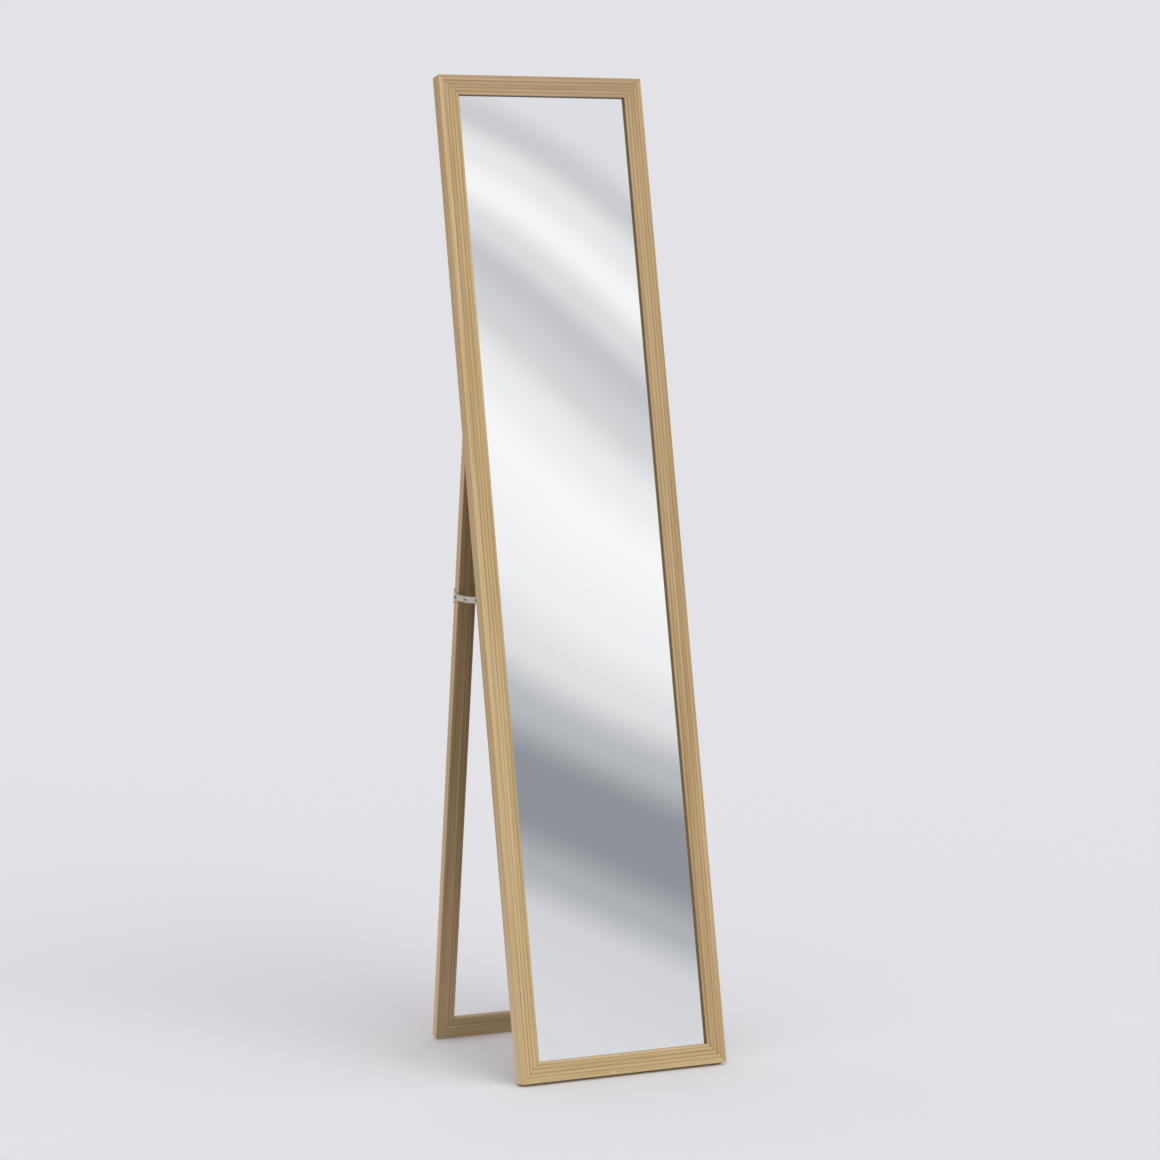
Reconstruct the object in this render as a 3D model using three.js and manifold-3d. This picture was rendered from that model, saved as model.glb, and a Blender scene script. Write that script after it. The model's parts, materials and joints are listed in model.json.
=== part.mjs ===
// Standing floor mirror on a folding leg frame, in millimetres.
// The mirror frame leans back and the leg frame, hinged to its back, leans forward to meet it.
// X runs along the width, the glass faces -Y, and Z is up. The origin is on the floor, under the
// middle of the object's outer box.

import * as THREE from 'three';
import { mergeVertices } from 'three/addons/utils/BufferGeometryUtils.js';
import Module from 'manifold-3d';

const wasm = await Module();
wasm.setup();

// ---- Driving dimensions ----

// Mirror frame: outer size, and the section of its moulding.
const FRAME_WIDTH = 348;
const FRAME_HEIGHT = 1552;
const FRAME_DEPTH = 23.3;
const FACE_WIDTH = 31.5;
const EDGE_ROUND = 1.6;
const LIP_DEPTH = 5.5;
const REBATE_WIDTH = 8;
const PLAIN_BAND = 9;
const SIGHT_REED = 5.1;
const GROOVE_COUNT = 4;
const GROOVE_WIDTH = 1.5;
const GROOVE_DEPTH = 0.7;
const REED_CROWN = 0.3;
const SCRIBE_PLACE = 3.8;
const SCRIBE_WIDTH = 0.9;
const SCRIBE_DEPTH = 0.25;

// Leg frame: how far it stands in from the mirror frame's sides, and the section of its moulding.
const LEG_INSET = 8.5;
const LEG_DEPTH = 14.6;
const LEG_FACE_WIDTH = 31.5;
const LEG_EDGE_ROUND = 1.5;
const LEG_BAND_DROP = 0.5;
const LEG_RIDGE = 3.6;
const LEG_QUIRK = 1.3;
const LEG_QUIRK_DEPTH = 1.2;
const LEG_BEAD = 5.6;
const LEG_STEP = 5;
const LEG_STEP_DROP = 2.6;

// How the object stands: the lean of each frame from upright, and the hinge line's height,
// measured up the back of the mirror frame.
const FRAME_LEAN = THREE.MathUtils.degToRad(11.4);
const LEG_LEAN = THREE.MathUtils.degToRad(7.55);
const HINGE_HEIGHT = 1000;
const FOLDED_GAP = 2;

// Glass, backing board and the points that hold them.
const GLASS_THICKNESS = 3;
const BOARD_THICKNESS = 3;
const PANE_CLEARANCE = 1;
const POINT_WIDTH = 14;
const POINT_LENGTH = 13;
const POINT_THICKNESS = 0.6;
const POINT_BITE = 5;
const POINTS_PER_SIDE = 3;

// V-nails across the mitres; a nail's point is NAIL_SET from the inner end of its mitre.
const NAIL_SET = 12;
const NAIL_ARM = 5;
const NAIL_THICKNESS = 0.6;
const NAIL_LENGTH = 10;
const LEG_NAIL_LENGTH = 8;

// Butt hinges.
const HINGE_LENGTH = 20;
const LEAF_WIDTH = 13;
const METAL = 1;
const KNUCKLE_RADIUS = 2.3;
const PIN_RADIUS = 1.2;
const HINGE_SCREW_SPACING = 11;
const HINGE_SCREW_REACH = 8;

// Countersunk screws: the head's cone is as deep as the metal and the gap under it.
const SCREW_HEAD_RADIUS = 2.5;
const SCREW_RADIUS = 1.1;
const SCREW_LENGTH = 12;
const SCREW_TIP = 2;

// Folding stays.
const STAY_HEIGHT = 737.5;
const STAY_OFFSET = 1.5;
const STAY_SAG = 1.2;
const LINK_THICKNESS = 1.2;
const LINK_HALF_WIDTH = 4.9;
const RIVET_RADIUS = 1.5;
const RIVET_HEAD_RADIUS = 2.5;
const RIVET_HEAD = 0.9;
const FLAT_HEAD = 0.6;
const LINK_SPACE = 1.0;
const MIDDLE_BOSS = 0.35;
const FLANGE_WIDTH = 12;
const FLANGE_HEIGHT = 24;
const EAR_BASE = 20;
const BRACKET_SCREW_SPACING = 16;
const STOP_REACH = 7;
const STOP_LENGTH = 4;

// Clearances: GAP between pieces that rest on each other, FIT around pieces in holes.
const GAP = 0.3;
const FIT = 0.15;
const MITRE_GAP = 0.2;

// Facets round a small cylinder, and along a rounded edge.
const ROUND_SEGMENTS = 16;
const EDGE_SEGMENTS = 4;
const CROWN_SEGMENTS = 3;

// ---- Materials ----

const oakFoil = new THREE.MeshStandardMaterial({ color: 0xbea37a, roughness: 0.55, metalness: 0 });
const legFoil = new THREE.MeshStandardMaterial({ color: 0xb29a72, roughness: 0.6, metalness: 0 });
const silver = new THREE.MeshStandardMaterial({ color: 0xeef0f2, roughness: 0.03, metalness: 1 });
const hardboard = new THREE.MeshStandardMaterial({ color: 0x7a5c3e, roughness: 0.85, metalness: 0 });
const zinc = new THREE.MeshStandardMaterial({ color: 0xb4b0a6, roughness: 0.35, metalness: 0.9 });
const nailSteel = new THREE.MeshStandardMaterial({ color: 0x8d8f92, roughness: 0.45, metalness: 0.9 });

// ---- Solids ----

// A closed three.js geometry as a solid that can be cut and joined.
function toSolid(geometry) {
  const bare = geometry.clone();
  bare.deleteAttribute('normal');
  bare.deleteAttribute('uv');
  const merged = mergeVertices(bare, 1e-5);
  const vertProperties = new Float32Array(merged.attributes.position.array);
  const triVerts = new Uint32Array(merged.index.array);
  return new wasm.Manifold(new wasm.Mesh({ numProp: 3, vertProperties, triVerts }));
}

function toGeometry(solid) {
  const mesh = solid.getMesh();
  const geometry = new THREE.BufferGeometry();
  geometry.setAttribute('position', new THREE.BufferAttribute(mesh.vertProperties, 3));
  geometry.setIndex(new THREE.BufferAttribute(mesh.triVerts, 1));
  geometry.computeVertexNormals();
  return geometry;
}

function cut(geometry, tools) {
  return toGeometry(tools.reduce((solid, tool) => solid.subtract(toSolid(tool)), toSolid(geometry)));
}

function join(...geometries) {
  return toGeometry(geometries.map(toSolid).reduce((whole, solid) => whole.add(solid)));
}

// A box from its lowest to its highest corner.
function block(low, high) {
  const size = high.map((value, axis) => value - low[axis]);
  const middle = high.map((value, axis) => (value + low[axis]) / 2);
  return new THREE.BoxGeometry(...size).translate(...middle);
}

// A round bar along X, from x0 to x1, about the line through (y, z).
function barAlongX(radius, x0, x1, y = 0, z = 0) {
  return new THREE.CylinderGeometry(radius, radius, Math.abs(x1 - x0), ROUND_SEGMENTS)
    .rotateZ(Math.PI / 2)
    .translate((x0 + x1) / 2, y, z);
}

// An outline in the YZ plane, given thickness from x0 to x1.
function plateAlongX(shape, x0, x1) {
  const low = Math.min(x0, x1);
  const turn = new THREE.Matrix4().makeBasis(
    new THREE.Vector3(0, 1, 0), new THREE.Vector3(0, 0, 1), new THREE.Vector3(1, 0, 0));
  return new THREE.ExtrudeGeometry(shape, {
    depth: Math.abs(x1 - x0), bevelEnabled: false, curveSegments: ROUND_SEGMENTS / 2,
  }).applyMatrix4(turn).translate(low, 0, 0);
}

function place(name, geometry, material, parent) {
  const mesh = new THREE.Mesh(geometry, material);
  mesh.name = name;
  parent.add(mesh);
  return mesh;
}

// ---- Places worked out from the dimensions ----

// Each frame has its own group: X across, Y from its front plane to its back, Z up from its foot.
// The mirror frame stands on the back edge of its foot, the leg frame on the round front edge.
const seat = GAP + METAL;
const hingeBack = FRAME_DEPTH + GAP + KNUCKLE_RADIUS;
const hingeIntoLeg = GAP + KNUCKLE_RADIUS - FOLDED_GAP;
const frameFootRise = FRAME_DEPTH * Math.sin(FRAME_LEAN);
const legFootDrop = LEG_EDGE_ROUND * (Math.cos(LEG_LEAN) + Math.sin(LEG_LEAN) - 1);

// A point of the leaning mirror frame, from its height up the frame and its depth, in (y, z).
function frameToWorld(depth, height) {
  return new THREE.Vector2(
    height * Math.sin(FRAME_LEAN) + depth * Math.cos(FRAME_LEAN),
    frameFootRise + height * Math.cos(FRAME_LEAN) - depth * Math.sin(FRAME_LEAN));
}

const hinge = frameToWorld(hingeBack, HINGE_HEIGHT);
const hingeUpLeg = (hinge.y + legFootDrop - hingeIntoLeg * Math.sin(LEG_LEAN)) / Math.cos(LEG_LEAN);
const legHeight = hingeUpLeg - GAP - KNUCKLE_RADIUS;
const legWidth = FRAME_WIDTH - 2 * LEG_INSET;
const legFootY = hinge.x + hingeUpLeg * Math.sin(LEG_LEAN) - hingeIntoLeg * Math.cos(LEG_LEAN);

function legToWorld(depth, height) {
  return new THREE.Vector2(
    legFootY - height * Math.sin(LEG_LEAN) + depth * Math.cos(LEG_LEAN),
    height * Math.cos(LEG_LEAN) + depth * Math.sin(LEG_LEAN) - legFootDrop);
}

// The outer box runs in Y from the mirror frame's front foot edge to the furthest back edge.
const backmost = Math.max(
  legToWorld(LEG_DEPTH, 0).x,
  frameToWorld(FRAME_DEPTH, FRAME_HEIGHT).x);
const root = new THREE.Group();
const stand = new THREE.Group();
stand.position.y = -backmost / 2;
root.add(stand);

const mirrorFrame = new THREE.Group();
mirrorFrame.rotation.x = -FRAME_LEAN;
mirrorFrame.position.z = frameFootRise;
stand.add(mirrorFrame);

const legFrame = new THREE.Group();
legFrame.rotation.x = LEG_LEAN;
legFrame.position.set(0, legFootY, -legFootDrop);
stand.add(legFrame);

// ---- Moulding sections: x inward from the outer side, y from the front to the back ----

// A rounded front edge at the outer side.
function roundedEdge(radius, drop) {
  const points = [];
  for (let i = 0; i <= EDGE_SEGMENTS; i += 1) {
    const turn = (i / EDGE_SEGMENTS) * Math.PI / 2;
    points.push([radius * (1 - Math.cos(turn)), drop + radius * (1 - Math.sin(turn))]);
  }
  return points;
}

// A crowned strip from x0 to x1, its edges `edge` deep and its middle `top` deep.
function crown(x0, x1, edge, top) {
  const points = [];
  for (let i = 0; i <= CROWN_SEGMENTS; i += 1) {
    const across = i / CROWN_SEGMENTS;
    const rise = 1 - (2 * across - 1) ** 2;
    points.push([x0 + (x1 - x0) * across, edge + (top - edge) * rise]);
  }
  return points;
}

function sectionShape(points) {
  return new THREE.Shape(points.map(([x, y]) => new THREE.Vector2(x, y)));
}

// Mirror frame: a plain band with a scribed line, then reeds between V grooves, a rounded sight
// edge, and a rebate behind it.
function frameSection() {
  const points = [[0, FRAME_DEPTH], ...roundedEdge(EDGE_ROUND, 0)];
  points.push([SCRIBE_PLACE - SCRIBE_WIDTH / 2, 0]);
  points.push([SCRIBE_PLACE, SCRIBE_DEPTH]);
  points.push([SCRIBE_PLACE + SCRIBE_WIDTH / 2, 0]);
  points.push([PLAIN_BAND - GROOVE_WIDTH / 2, 0]);
  const pitch = (FACE_WIDTH - PLAIN_BAND - SIGHT_REED) / (GROOVE_COUNT - 1);
  for (let i = 0; i < GROOVE_COUNT; i += 1) {
    const groove = PLAIN_BAND + i * pitch;
    const reedEnd = i < GROOVE_COUNT - 1 ? groove + pitch - GROOVE_WIDTH / 2 : FACE_WIDTH;
    points.push([groove, GROOVE_DEPTH]);
    points.push(...crown(groove + GROOVE_WIDTH / 2, reedEnd, REED_CROWN, 0));
  }
  points.push([FACE_WIDTH, LIP_DEPTH]);
  points.push([FACE_WIDTH - REBATE_WIDTH, LIP_DEPTH]);
  points.push([FACE_WIDTH - REBATE_WIDTH, FRAME_DEPTH]);
  return sectionShape(points);
}

// Leg frame: a flat band that takes what width is left, a narrow ridge, a quirk, a bead and a
// stepped-down inner edge.
function legSection() {
  const beadEnd = LEG_FACE_WIDTH - LEG_STEP;
  const beadStart = beadEnd - LEG_BEAD;
  const ridgeEnd = beadStart - LEG_QUIRK;
  const bandEnd = ridgeEnd - LEG_RIDGE;
  return sectionShape([
    [0, LEG_DEPTH],
    ...roundedEdge(LEG_EDGE_ROUND, 0),
    [LEG_EDGE_ROUND * 2, LEG_BAND_DROP],
    ...crown(bandEnd, ridgeEnd, LEG_BAND_DROP, 0),
    [ridgeEnd + LEG_QUIRK / 2, LEG_QUIRK_DEPTH],
    ...crown(beadStart, beadEnd, LEG_BAND_DROP * 2, LEG_BAND_DROP),
    [beadEnd, LEG_STEP_DROP],
    [LEG_FACE_WIDTH, LEG_STEP_DROP],
    [LEG_FACE_WIDTH, LEG_DEPTH],
  ]);
}

// A length of moulding along Z with both ends mitred back as the section goes inward.
function mitredLength(section, length) {
  const geometry = new THREE.ExtrudeGeometry(section, { depth: length, bevelEnabled: false });
  const position = geometry.attributes.position;
  for (let i = 0; i < position.count; i += 1) {
    const setBack = position.getX(i) + MITRE_GAP / 2;
    const z = position.getZ(i);
    position.setZ(i, z < length / 2 ? z + setBack : z - setBack);
  }
  return geometry;
}

// The four members of a frame, each as its name, length, turn about Y and corner.
function membersOf(width, height) {
  return [
    { name: 'left_stile', length: height, turn: 0, corner: [-width / 2, 0, 0] },
    { name: 'top_rail', length: width, turn: Math.PI / 2, corner: [-width / 2, 0, height] },
    { name: 'right_stile', length: height, turn: Math.PI, corner: [width / 2, 0, height] },
    { name: 'bottom_rail', length: width, turn: -Math.PI / 2, corner: [width / 2, 0, 0] },
  ];
}

// Cutting tools are kept in the frame's own coordinates and brought to each member's.
function addFrame(parent, prefix, section, width, height, material, tools) {
  for (const member of membersOf(width, height)) {
    const seatMatrix = new THREE.Matrix4()
      .makeRotationY(member.turn)
      .setPosition(...member.corner);
    const inverse = seatMatrix.clone().invert();
    const local = tools.map((tool) => tool.clone().applyMatrix4(inverse));
    const mesh = place(prefix + member.name, cut(mitredLength(section, member.length), local),
      material, parent);
    mesh.rotation.y = member.turn;
    mesh.position.set(...member.corner);
  }
}

// ---- Fasteners ----

// A countersunk wood screw, its head's face at the origin and its point towards -Y.
function screwProfile(grow) {
  const headDepth = seat;
  return [
    new THREE.Vector2(0, grow),
    new THREE.Vector2(SCREW_HEAD_RADIUS + grow, grow),
    new THREE.Vector2(SCREW_HEAD_RADIUS + grow, 0),
    new THREE.Vector2(SCREW_RADIUS + grow, -headDepth),
    new THREE.Vector2(SCREW_RADIUS + grow, SCREW_TIP - SCREW_LENGTH - grow),
    new THREE.Vector2(0, -SCREW_LENGTH - grow),
  ];
}

const screwSolid = new THREE.LatheGeometry(
  screwProfile(0).filter((point, i) => i !== 1).reverse(), ROUND_SEGMENTS);
const screwHole = new THREE.LatheGeometry(screwProfile(FIT).reverse(), ROUND_SEGMENTS);

// Screws driven forward into a back face, towards -Y, or down into an end, towards -Z.
function drivenForward(geometry, x, y, z) {
  return geometry.clone().translate(x, y, z);
}

function drivenDown(geometry, x, y, z) {
  return geometry.clone().rotateX(Math.PI / 2).translate(x, y, z);
}

// A V-nail lies across a mitre at the back of a frame: its point towards the outer corner.
function nailTools(width, height, faceWidth, depth, length) {
  const corners = [
    { name: 'bottom_left', x: -1, z: -1 },
    { name: 'bottom_right', x: 1, z: -1 },
    { name: 'top_left', x: -1, z: 1 },
    { name: 'top_right', x: 1, z: 1 },
  ];
  return corners.map((corner) => {
    const make = (grow) => {
      const reach = NAIL_ARM + grow;
      const half = NAIL_THICKNESS / 2 + grow;
      const arms = [
        block([-half, -length - grow, -half], [reach, grow, half]),
        block([-half, -length - grow, -half], [half, grow, reach]),
      ];
      const turn = Math.atan2(-corner.z, -corner.x) - Math.PI / 4;
      const inset = faceWidth - NAIL_SET;
      return join(...arms)
        .rotateY(-turn)
        .translate(corner.x * (width / 2 - inset), depth, corner.z > 0 ? height - inset : inset);
    };
    return { name: corner.name, nail: make(0), pocket: make(FIT) };
  });
}

// ---- Mirror frame ----

const paneWidth = FRAME_WIDTH - 2 * (FACE_WIDTH - REBATE_WIDTH + PANE_CLEARANCE);
const paneHeight = FRAME_HEIGHT - 2 * (FACE_WIDTH - REBATE_WIDTH + PANE_CLEARANCE);
const paneFoot = FACE_WIDTH - REBATE_WIDTH + PANE_CLEARANCE;
const glassFront = LIP_DEPTH + GAP;
const boardFront = glassFront + GLASS_THICKNESS + GAP;
const pointFront = boardFront + BOARD_THICKNESS + GAP;

function pane(front, thickness) {
  return block(
    [-paneWidth / 2, front, paneFoot],
    [paneWidth / 2, front + thickness, paneFoot + paneHeight]);
}

// Retaining points: flat steel tabs driven sideways into the rebate, lying over the board.
function retainingPoint(side, height, grow) {
  const wall = FRAME_WIDTH / 2 - (FACE_WIDTH - REBATE_WIDTH);
  const inner = wall + POINT_BITE - POINT_LENGTH - grow;
  const outer = wall + POINT_BITE + grow;
  const ends = [side * inner, side * outer].sort((one, other) => one - other);
  return block(
    [ends[0], pointFront - grow, height - POINT_WIDTH / 2 - grow],
    [ends[1], pointFront + POINT_THICKNESS + grow, height + POINT_WIDTH / 2 + grow]);
}

const pointPlaces = [];
for (const [sideName, side] of [['left', -1], ['right', 1]]) {
  for (let i = 0; i < POINTS_PER_SIDE; i += 1) {
    const height = FRAME_HEIGHT * (i + 0.5) / POINTS_PER_SIDE;
    pointPlaces.push({ name: `${sideName}_point_${i + 1}`, side, height });
  }
}

const frameNails = nailTools(FRAME_WIDTH, FRAME_HEIGHT, FACE_WIDTH - REBATE_WIDTH, FRAME_DEPTH,
  NAIL_LENGTH);

// Hinges sit over the part of the leg's stile that the mirror frame's stile backs.
const hingeInnerEdge = FRAME_WIDTH / 2 - (FACE_WIDTH - REBATE_WIDTH);
const hingeOuterEdge = legWidth / 2;
const hingeMiddle = (hingeInnerEdge + hingeOuterEdge) / 2;
const hingeSides = [['left', -1], ['right', 1]];
const screwLift = METAL + GAP;

// Layers of the stay, outward from the leg's side.
const legSide = legWidth / 2;
const legEarIn = legSide + GAP;
const legEarOut = legEarIn + METAL;
const rearLinkIn = legEarOut + GAP;
const rearLinkOut = rearLinkIn + LINK_THICKNESS;
const frontLinkIn = rearLinkOut + LINK_SPACE;
const frontLinkOut = frontLinkIn + LINK_THICKNESS;
const frameEarIn = frontLinkOut + GAP;
const frameEarOut = frameEarIn + METAL;

// Stay pivots. Folded, both end pivots lie the same distance behind the mirror frame, the leg's
// lower by STAY_OFFSET, and the links lie along the frames; open, the middle pivot hangs
// STAY_SAG below the line between the end pivots, so that the stay locks.
const framePivotDepth = seat + GAP + LINK_HALF_WIDTH;
const legPivotDepth = framePivotDepth - FOLDED_GAP;
const legPivotHeight = hingeUpLeg - (HINGE_HEIGHT - STAY_HEIGHT) - STAY_OFFSET;
const framePivot = frameToWorld(FRAME_DEPTH + framePivotDepth, STAY_HEIGHT);
const legPivot = legToWorld(legPivotDepth, legPivotHeight);
const span = framePivot.distanceTo(legPivot);
const skew = STAY_OFFSET * Math.sqrt(1 + 4 * STAY_SAG ** 2 / (span ** 2 - STAY_OFFSET ** 2));
const rearRun = (span + skew) / 2;
const frontRun = span - rearRun;
const rearLinkLength = Math.hypot(rearRun, STAY_SAG);
const frontLinkLength = Math.hypot(frontRun, STAY_SAG);
const along = framePivot.clone().sub(legPivot).normalize();
const down = new THREE.Vector2(along.y, -along.x).multiplyScalar(along.x < 0 ? -1 : 1);
const middlePivot = legPivot.clone().addScaledVector(along, rearRun).addScaledVector(down, STAY_SAG);

const frameScrewPlaces = [];
for (const [sideName, side] of hingeSides) {
  for (const [i, offset] of [[1, -0.5], [2, 0.5]]) {
    frameScrewPlaces.push({
      name: `${sideName}_hinge_frame_screw_${i}`,
      x: side * hingeMiddle + offset * HINGE_SCREW_SPACING,
      z: HINGE_HEIGHT + HINGE_SCREW_REACH,
    });
    frameScrewPlaces.push({
      name: `${sideName}_frame_bracket_screw_${i}`,
      x: side * (frameEarOut - FLANGE_WIDTH / 2),
      z: STAY_HEIGHT + offset * BRACKET_SCREW_SPACING,
    });
  }
}

addFrame(mirrorFrame, 'frame_', frameSection(), FRAME_WIDTH, FRAME_HEIGHT, oakFoil, [
  ...pointPlaces.map((point) => retainingPoint(point.side, point.height, FIT)),
  ...frameNails.map((nail) => nail.pocket),
  ...frameScrewPlaces.map((screw) => drivenForward(screwHole, screw.x, FRAME_DEPTH + screwLift, screw.z)),
]);
place('mirror_glass', pane(glassFront, GLASS_THICKNESS), silver, mirrorFrame);
place('backing_board', pane(boardFront, BOARD_THICKNESS), hardboard, mirrorFrame);
for (const point of pointPlaces) {
  place(point.name, retainingPoint(point.side, point.height, 0), nailSteel, mirrorFrame);
}
for (const nail of frameNails) {
  place(`frame_nail_${nail.name}`, nail.nail, nailSteel, mirrorFrame);
}
for (const screw of frameScrewPlaces) {
  place(screw.name, drivenForward(screwSolid, screw.x, FRAME_DEPTH + screwLift, screw.z), zinc,
    mirrorFrame);
}

// ---- Leg frame ----

const legNails = nailTools(legWidth, legHeight, LEG_FACE_WIDTH, LEG_DEPTH, LEG_NAIL_LENGTH);
const legScrewPlaces = [];
for (const [sideName, side] of hingeSides) {
  for (const [i, offset] of [[1, -0.5], [2, 0.5]]) {
    legScrewPlaces.push({
      name: `${sideName}_hinge_leg_screw_${i}`,
      drive: drivenDown,
      at: [
        side * hingeMiddle + offset * HINGE_SCREW_SPACING,
        hingeIntoLeg + HINGE_SCREW_REACH,
        legHeight + screwLift,
      ],
    });
    legScrewPlaces.push({
      name: `${sideName}_leg_bracket_screw_${i}`,
      drive: drivenForward,
      at: [
        side * (legEarOut - FLANGE_WIDTH / 2),
        LEG_DEPTH + screwLift,
        legPivotHeight + offset * BRACKET_SCREW_SPACING,
      ],
    });
  }
}

addFrame(legFrame, 'leg_', legSection(), legWidth, legHeight, legFoil, [
  ...legNails.map((nail) => nail.pocket),
  ...legScrewPlaces.map((screw) => screw.drive(screwHole, ...screw.at)),
]);
for (const nail of legNails) {
  place(`leg_nail_${nail.name}`, nail.nail, nailSteel, legFrame);
}
for (const screw of legScrewPlaces) {
  place(screw.name, screw.drive(screwSolid, ...screw.at), zinc, legFrame);
}

// ---- Hinges ----

// A leaf lies on its frame and rolls into knuckles about the hinge line. In the leaf's own
// coordinates the hinge line is the X axis, the leaf runs along +Z, and its frame is below, at -Y.
function hingeLeaf(middle, ownKnuckles, otherKnuckles) {
  const half = HINGE_LENGTH / 2;
  const plate = block([-half, -KNUCKLE_RADIUS, 0], [half, METAL - KNUCKLE_RADIUS, LEAF_WIDTH]);
  const barrels = ownKnuckles.map(([x0, x1]) => barAlongX(KNUCKLE_RADIUS, x0, x1));
  const clear = [
    barAlongX(PIN_RADIUS + FIT, -half - 1, half + 1),
    ...otherKnuckles.map(([x0, x1]) => barAlongX(KNUCKLE_RADIUS + GAP, x0 - GAP, x1 + GAP)),
  ];
  const holes = [-0.5, 0.5].map((offset) => drivenForward(
    screwHole, offset * HINGE_SCREW_SPACING, METAL - KNUCKLE_RADIUS, HINGE_SCREW_REACH));
  return cut(join(plate, ...barrels), [...clear, ...holes]).translate(middle, 0, 0);
}

const knuckleEdge = HINGE_LENGTH / 6;
const knuckleEnd = HINGE_LENGTH / 2;
const outerKnuckles = [[-knuckleEnd, -knuckleEdge], [knuckleEdge, knuckleEnd]];
const middleKnuckle = [[-knuckleEdge + GAP, knuckleEdge - GAP]];

for (const [sideName, side] of hingeSides) {
  const middle = side * hingeMiddle;
  const frameLeaf = place(`${sideName}_hinge_frame_leaf`,
    hingeLeaf(middle, outerKnuckles, middleKnuckle), zinc, mirrorFrame);
  frameLeaf.position.set(0, hingeBack, HINGE_HEIGHT);
  const legLeaf = place(`${sideName}_hinge_leg_leaf`,
    hingeLeaf(-middle, middleKnuckle, outerKnuckles), zinc, legFrame);
  legLeaf.rotation.set(Math.PI / 2, Math.PI, 0);
  legLeaf.position.set(0, hingeIntoLeg, hingeUpLeg);
  const pin = place(`${sideName}_hinge_pin`,
    barAlongX(PIN_RADIUS, middle - knuckleEnd - GAP, middle + knuckleEnd + GAP), zinc, mirrorFrame);
  pin.position.set(0, hingeBack, HINGE_HEIGHT);
}

// ---- Folding stays ----

// A bracket in its frame's coordinates: a flange screwed to the frame's back, and an ear that
// stands off it along X and narrows to a round eye about the pivot.
function bracket(side, earIn, earOut, back, pivot) {
  const behind = pivot.depth > back;
  const foot = behind ? back : back + METAL;
  const ear = new THREE.Shape();
  ear.moveTo(foot, pivot.height - EAR_BASE / 2);
  ear.lineTo(foot, pivot.height + EAR_BASE / 2);
  ear.absarc(pivot.depth, pivot.height, LINK_HALF_WIDTH, Math.PI / 2, -Math.PI / 2, behind);
  ear.closePath();
  const [flangeLow, flangeHigh] = [side * earOut, side * (earOut - FLANGE_WIDTH)].sort((p, q) => p - q);
  const flange = block(
    [flangeLow, back, pivot.height - FLANGE_HEIGHT / 2],
    [flangeHigh, back + METAL, pivot.height + FLANGE_HEIGHT / 2]);
  const bore = barAlongX(RIVET_RADIUS + FIT, side * (earIn - METAL), side * (earOut + METAL),
    pivot.depth, pivot.height);
  const screwHoles = [-0.5, 0.5].map((offset) => drivenForward(screwHole,
    side * (earOut - FLANGE_WIDTH / 2), back + METAL, pivot.height + offset * BRACKET_SCREW_SPACING));
  return cut(join(flange, plateAlongX(ear, side * earIn, side * earOut)), [bore, ...screwHoles]);
}

// A flat bar with round ends, from the pivot at the origin along +Y.
function bar(length, side, layerIn, layerOut) {
  const shape = new THREE.Shape();
  shape.absarc(0, 0, LINK_HALF_WIDTH, Math.PI / 2, Math.PI * 1.5, false);
  shape.absarc(length, 0, LINK_HALF_WIDTH, -Math.PI / 2, Math.PI / 2, false);
  shape.closePath();
  return plateAlongX(shape, side * layerIn, side * layerOut);
}

function rivetHole(side, layerIn, layerOut, y) {
  return barAlongX(RIVET_RADIUS + FIT, side * (layerIn - METAL), side * (layerOut + METAL), y);
}

// The rear link runs on past the middle pivot to a stop that is bent over the front link's top
// edge. It lies pointing forward, so its top edge is on its own -Z side. Its half of the middle
// rivet is a round boss on each face, and the front link carries the other half.
const lockAngle = Math.asin(STAY_SAG / rearLinkLength) + Math.asin(STAY_SAG / frontLinkLength);
const stopHeight = LINK_HALF_WIDTH / Math.cos(lockAngle)
  + (STOP_REACH + STOP_LENGTH) * Math.tan(lockAngle) + FIT;

function rearLink(side) {
  const stopAt = [rearLinkLength + STOP_REACH, rearLinkLength + STOP_REACH + STOP_LENGTH];
  const post = [side * rearLinkIn, side * rearLinkOut].sort((p, q) => p - q);
  const tab = [side * rearLinkIn, side * frontLinkOut].sort((p, q) => p - q);
  return cut(
    join(
      bar(rearLinkLength + STOP_REACH, side, rearLinkIn, rearLinkOut),
      block([post[0], stopAt[0], -stopHeight - METAL], [post[1], stopAt[1], 0]),
      block([tab[0], stopAt[0], -stopHeight - METAL], [tab[1], stopAt[1], -stopHeight]),
      barAlongX(RIVET_HEAD_RADIUS, side * (rearLinkIn - MIDDLE_BOSS), side * (rearLinkOut + MIDDLE_BOSS),
        rearLinkLength)),
    [rivetHole(side, rearLinkIn, rearLinkOut, 0)]);
}

function frontLink(side) {
  return cut(bar(frontLinkLength, side, frontLinkIn, frontLinkOut), [
    rivetHole(side, frontLinkIn, frontLinkOut, 0),
    rivetHole(side, frontLinkIn, frontLinkOut, frontLinkLength),
  ]);
}

// A rivet along X: a shank from one X to another, and round heads, each from one X to another.
function rivet(side, shank, ...heads) {
  return join(
    barAlongX(RIVET_RADIUS, side * shank[0], side * shank[1]),
    ...heads.map(([from, to]) => barAlongX(RIVET_HEAD_RADIUS, side * from, side * to)));
}

// Puts a piece that is drawn about the origin along +Y on a pivot, pointing at another pivot.
function aim(mesh, from, towards) {
  mesh.position.set(0, from.x, from.y);
  mesh.rotation.x = Math.atan2(towards.y - from.y, towards.x - from.x);
}

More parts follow.
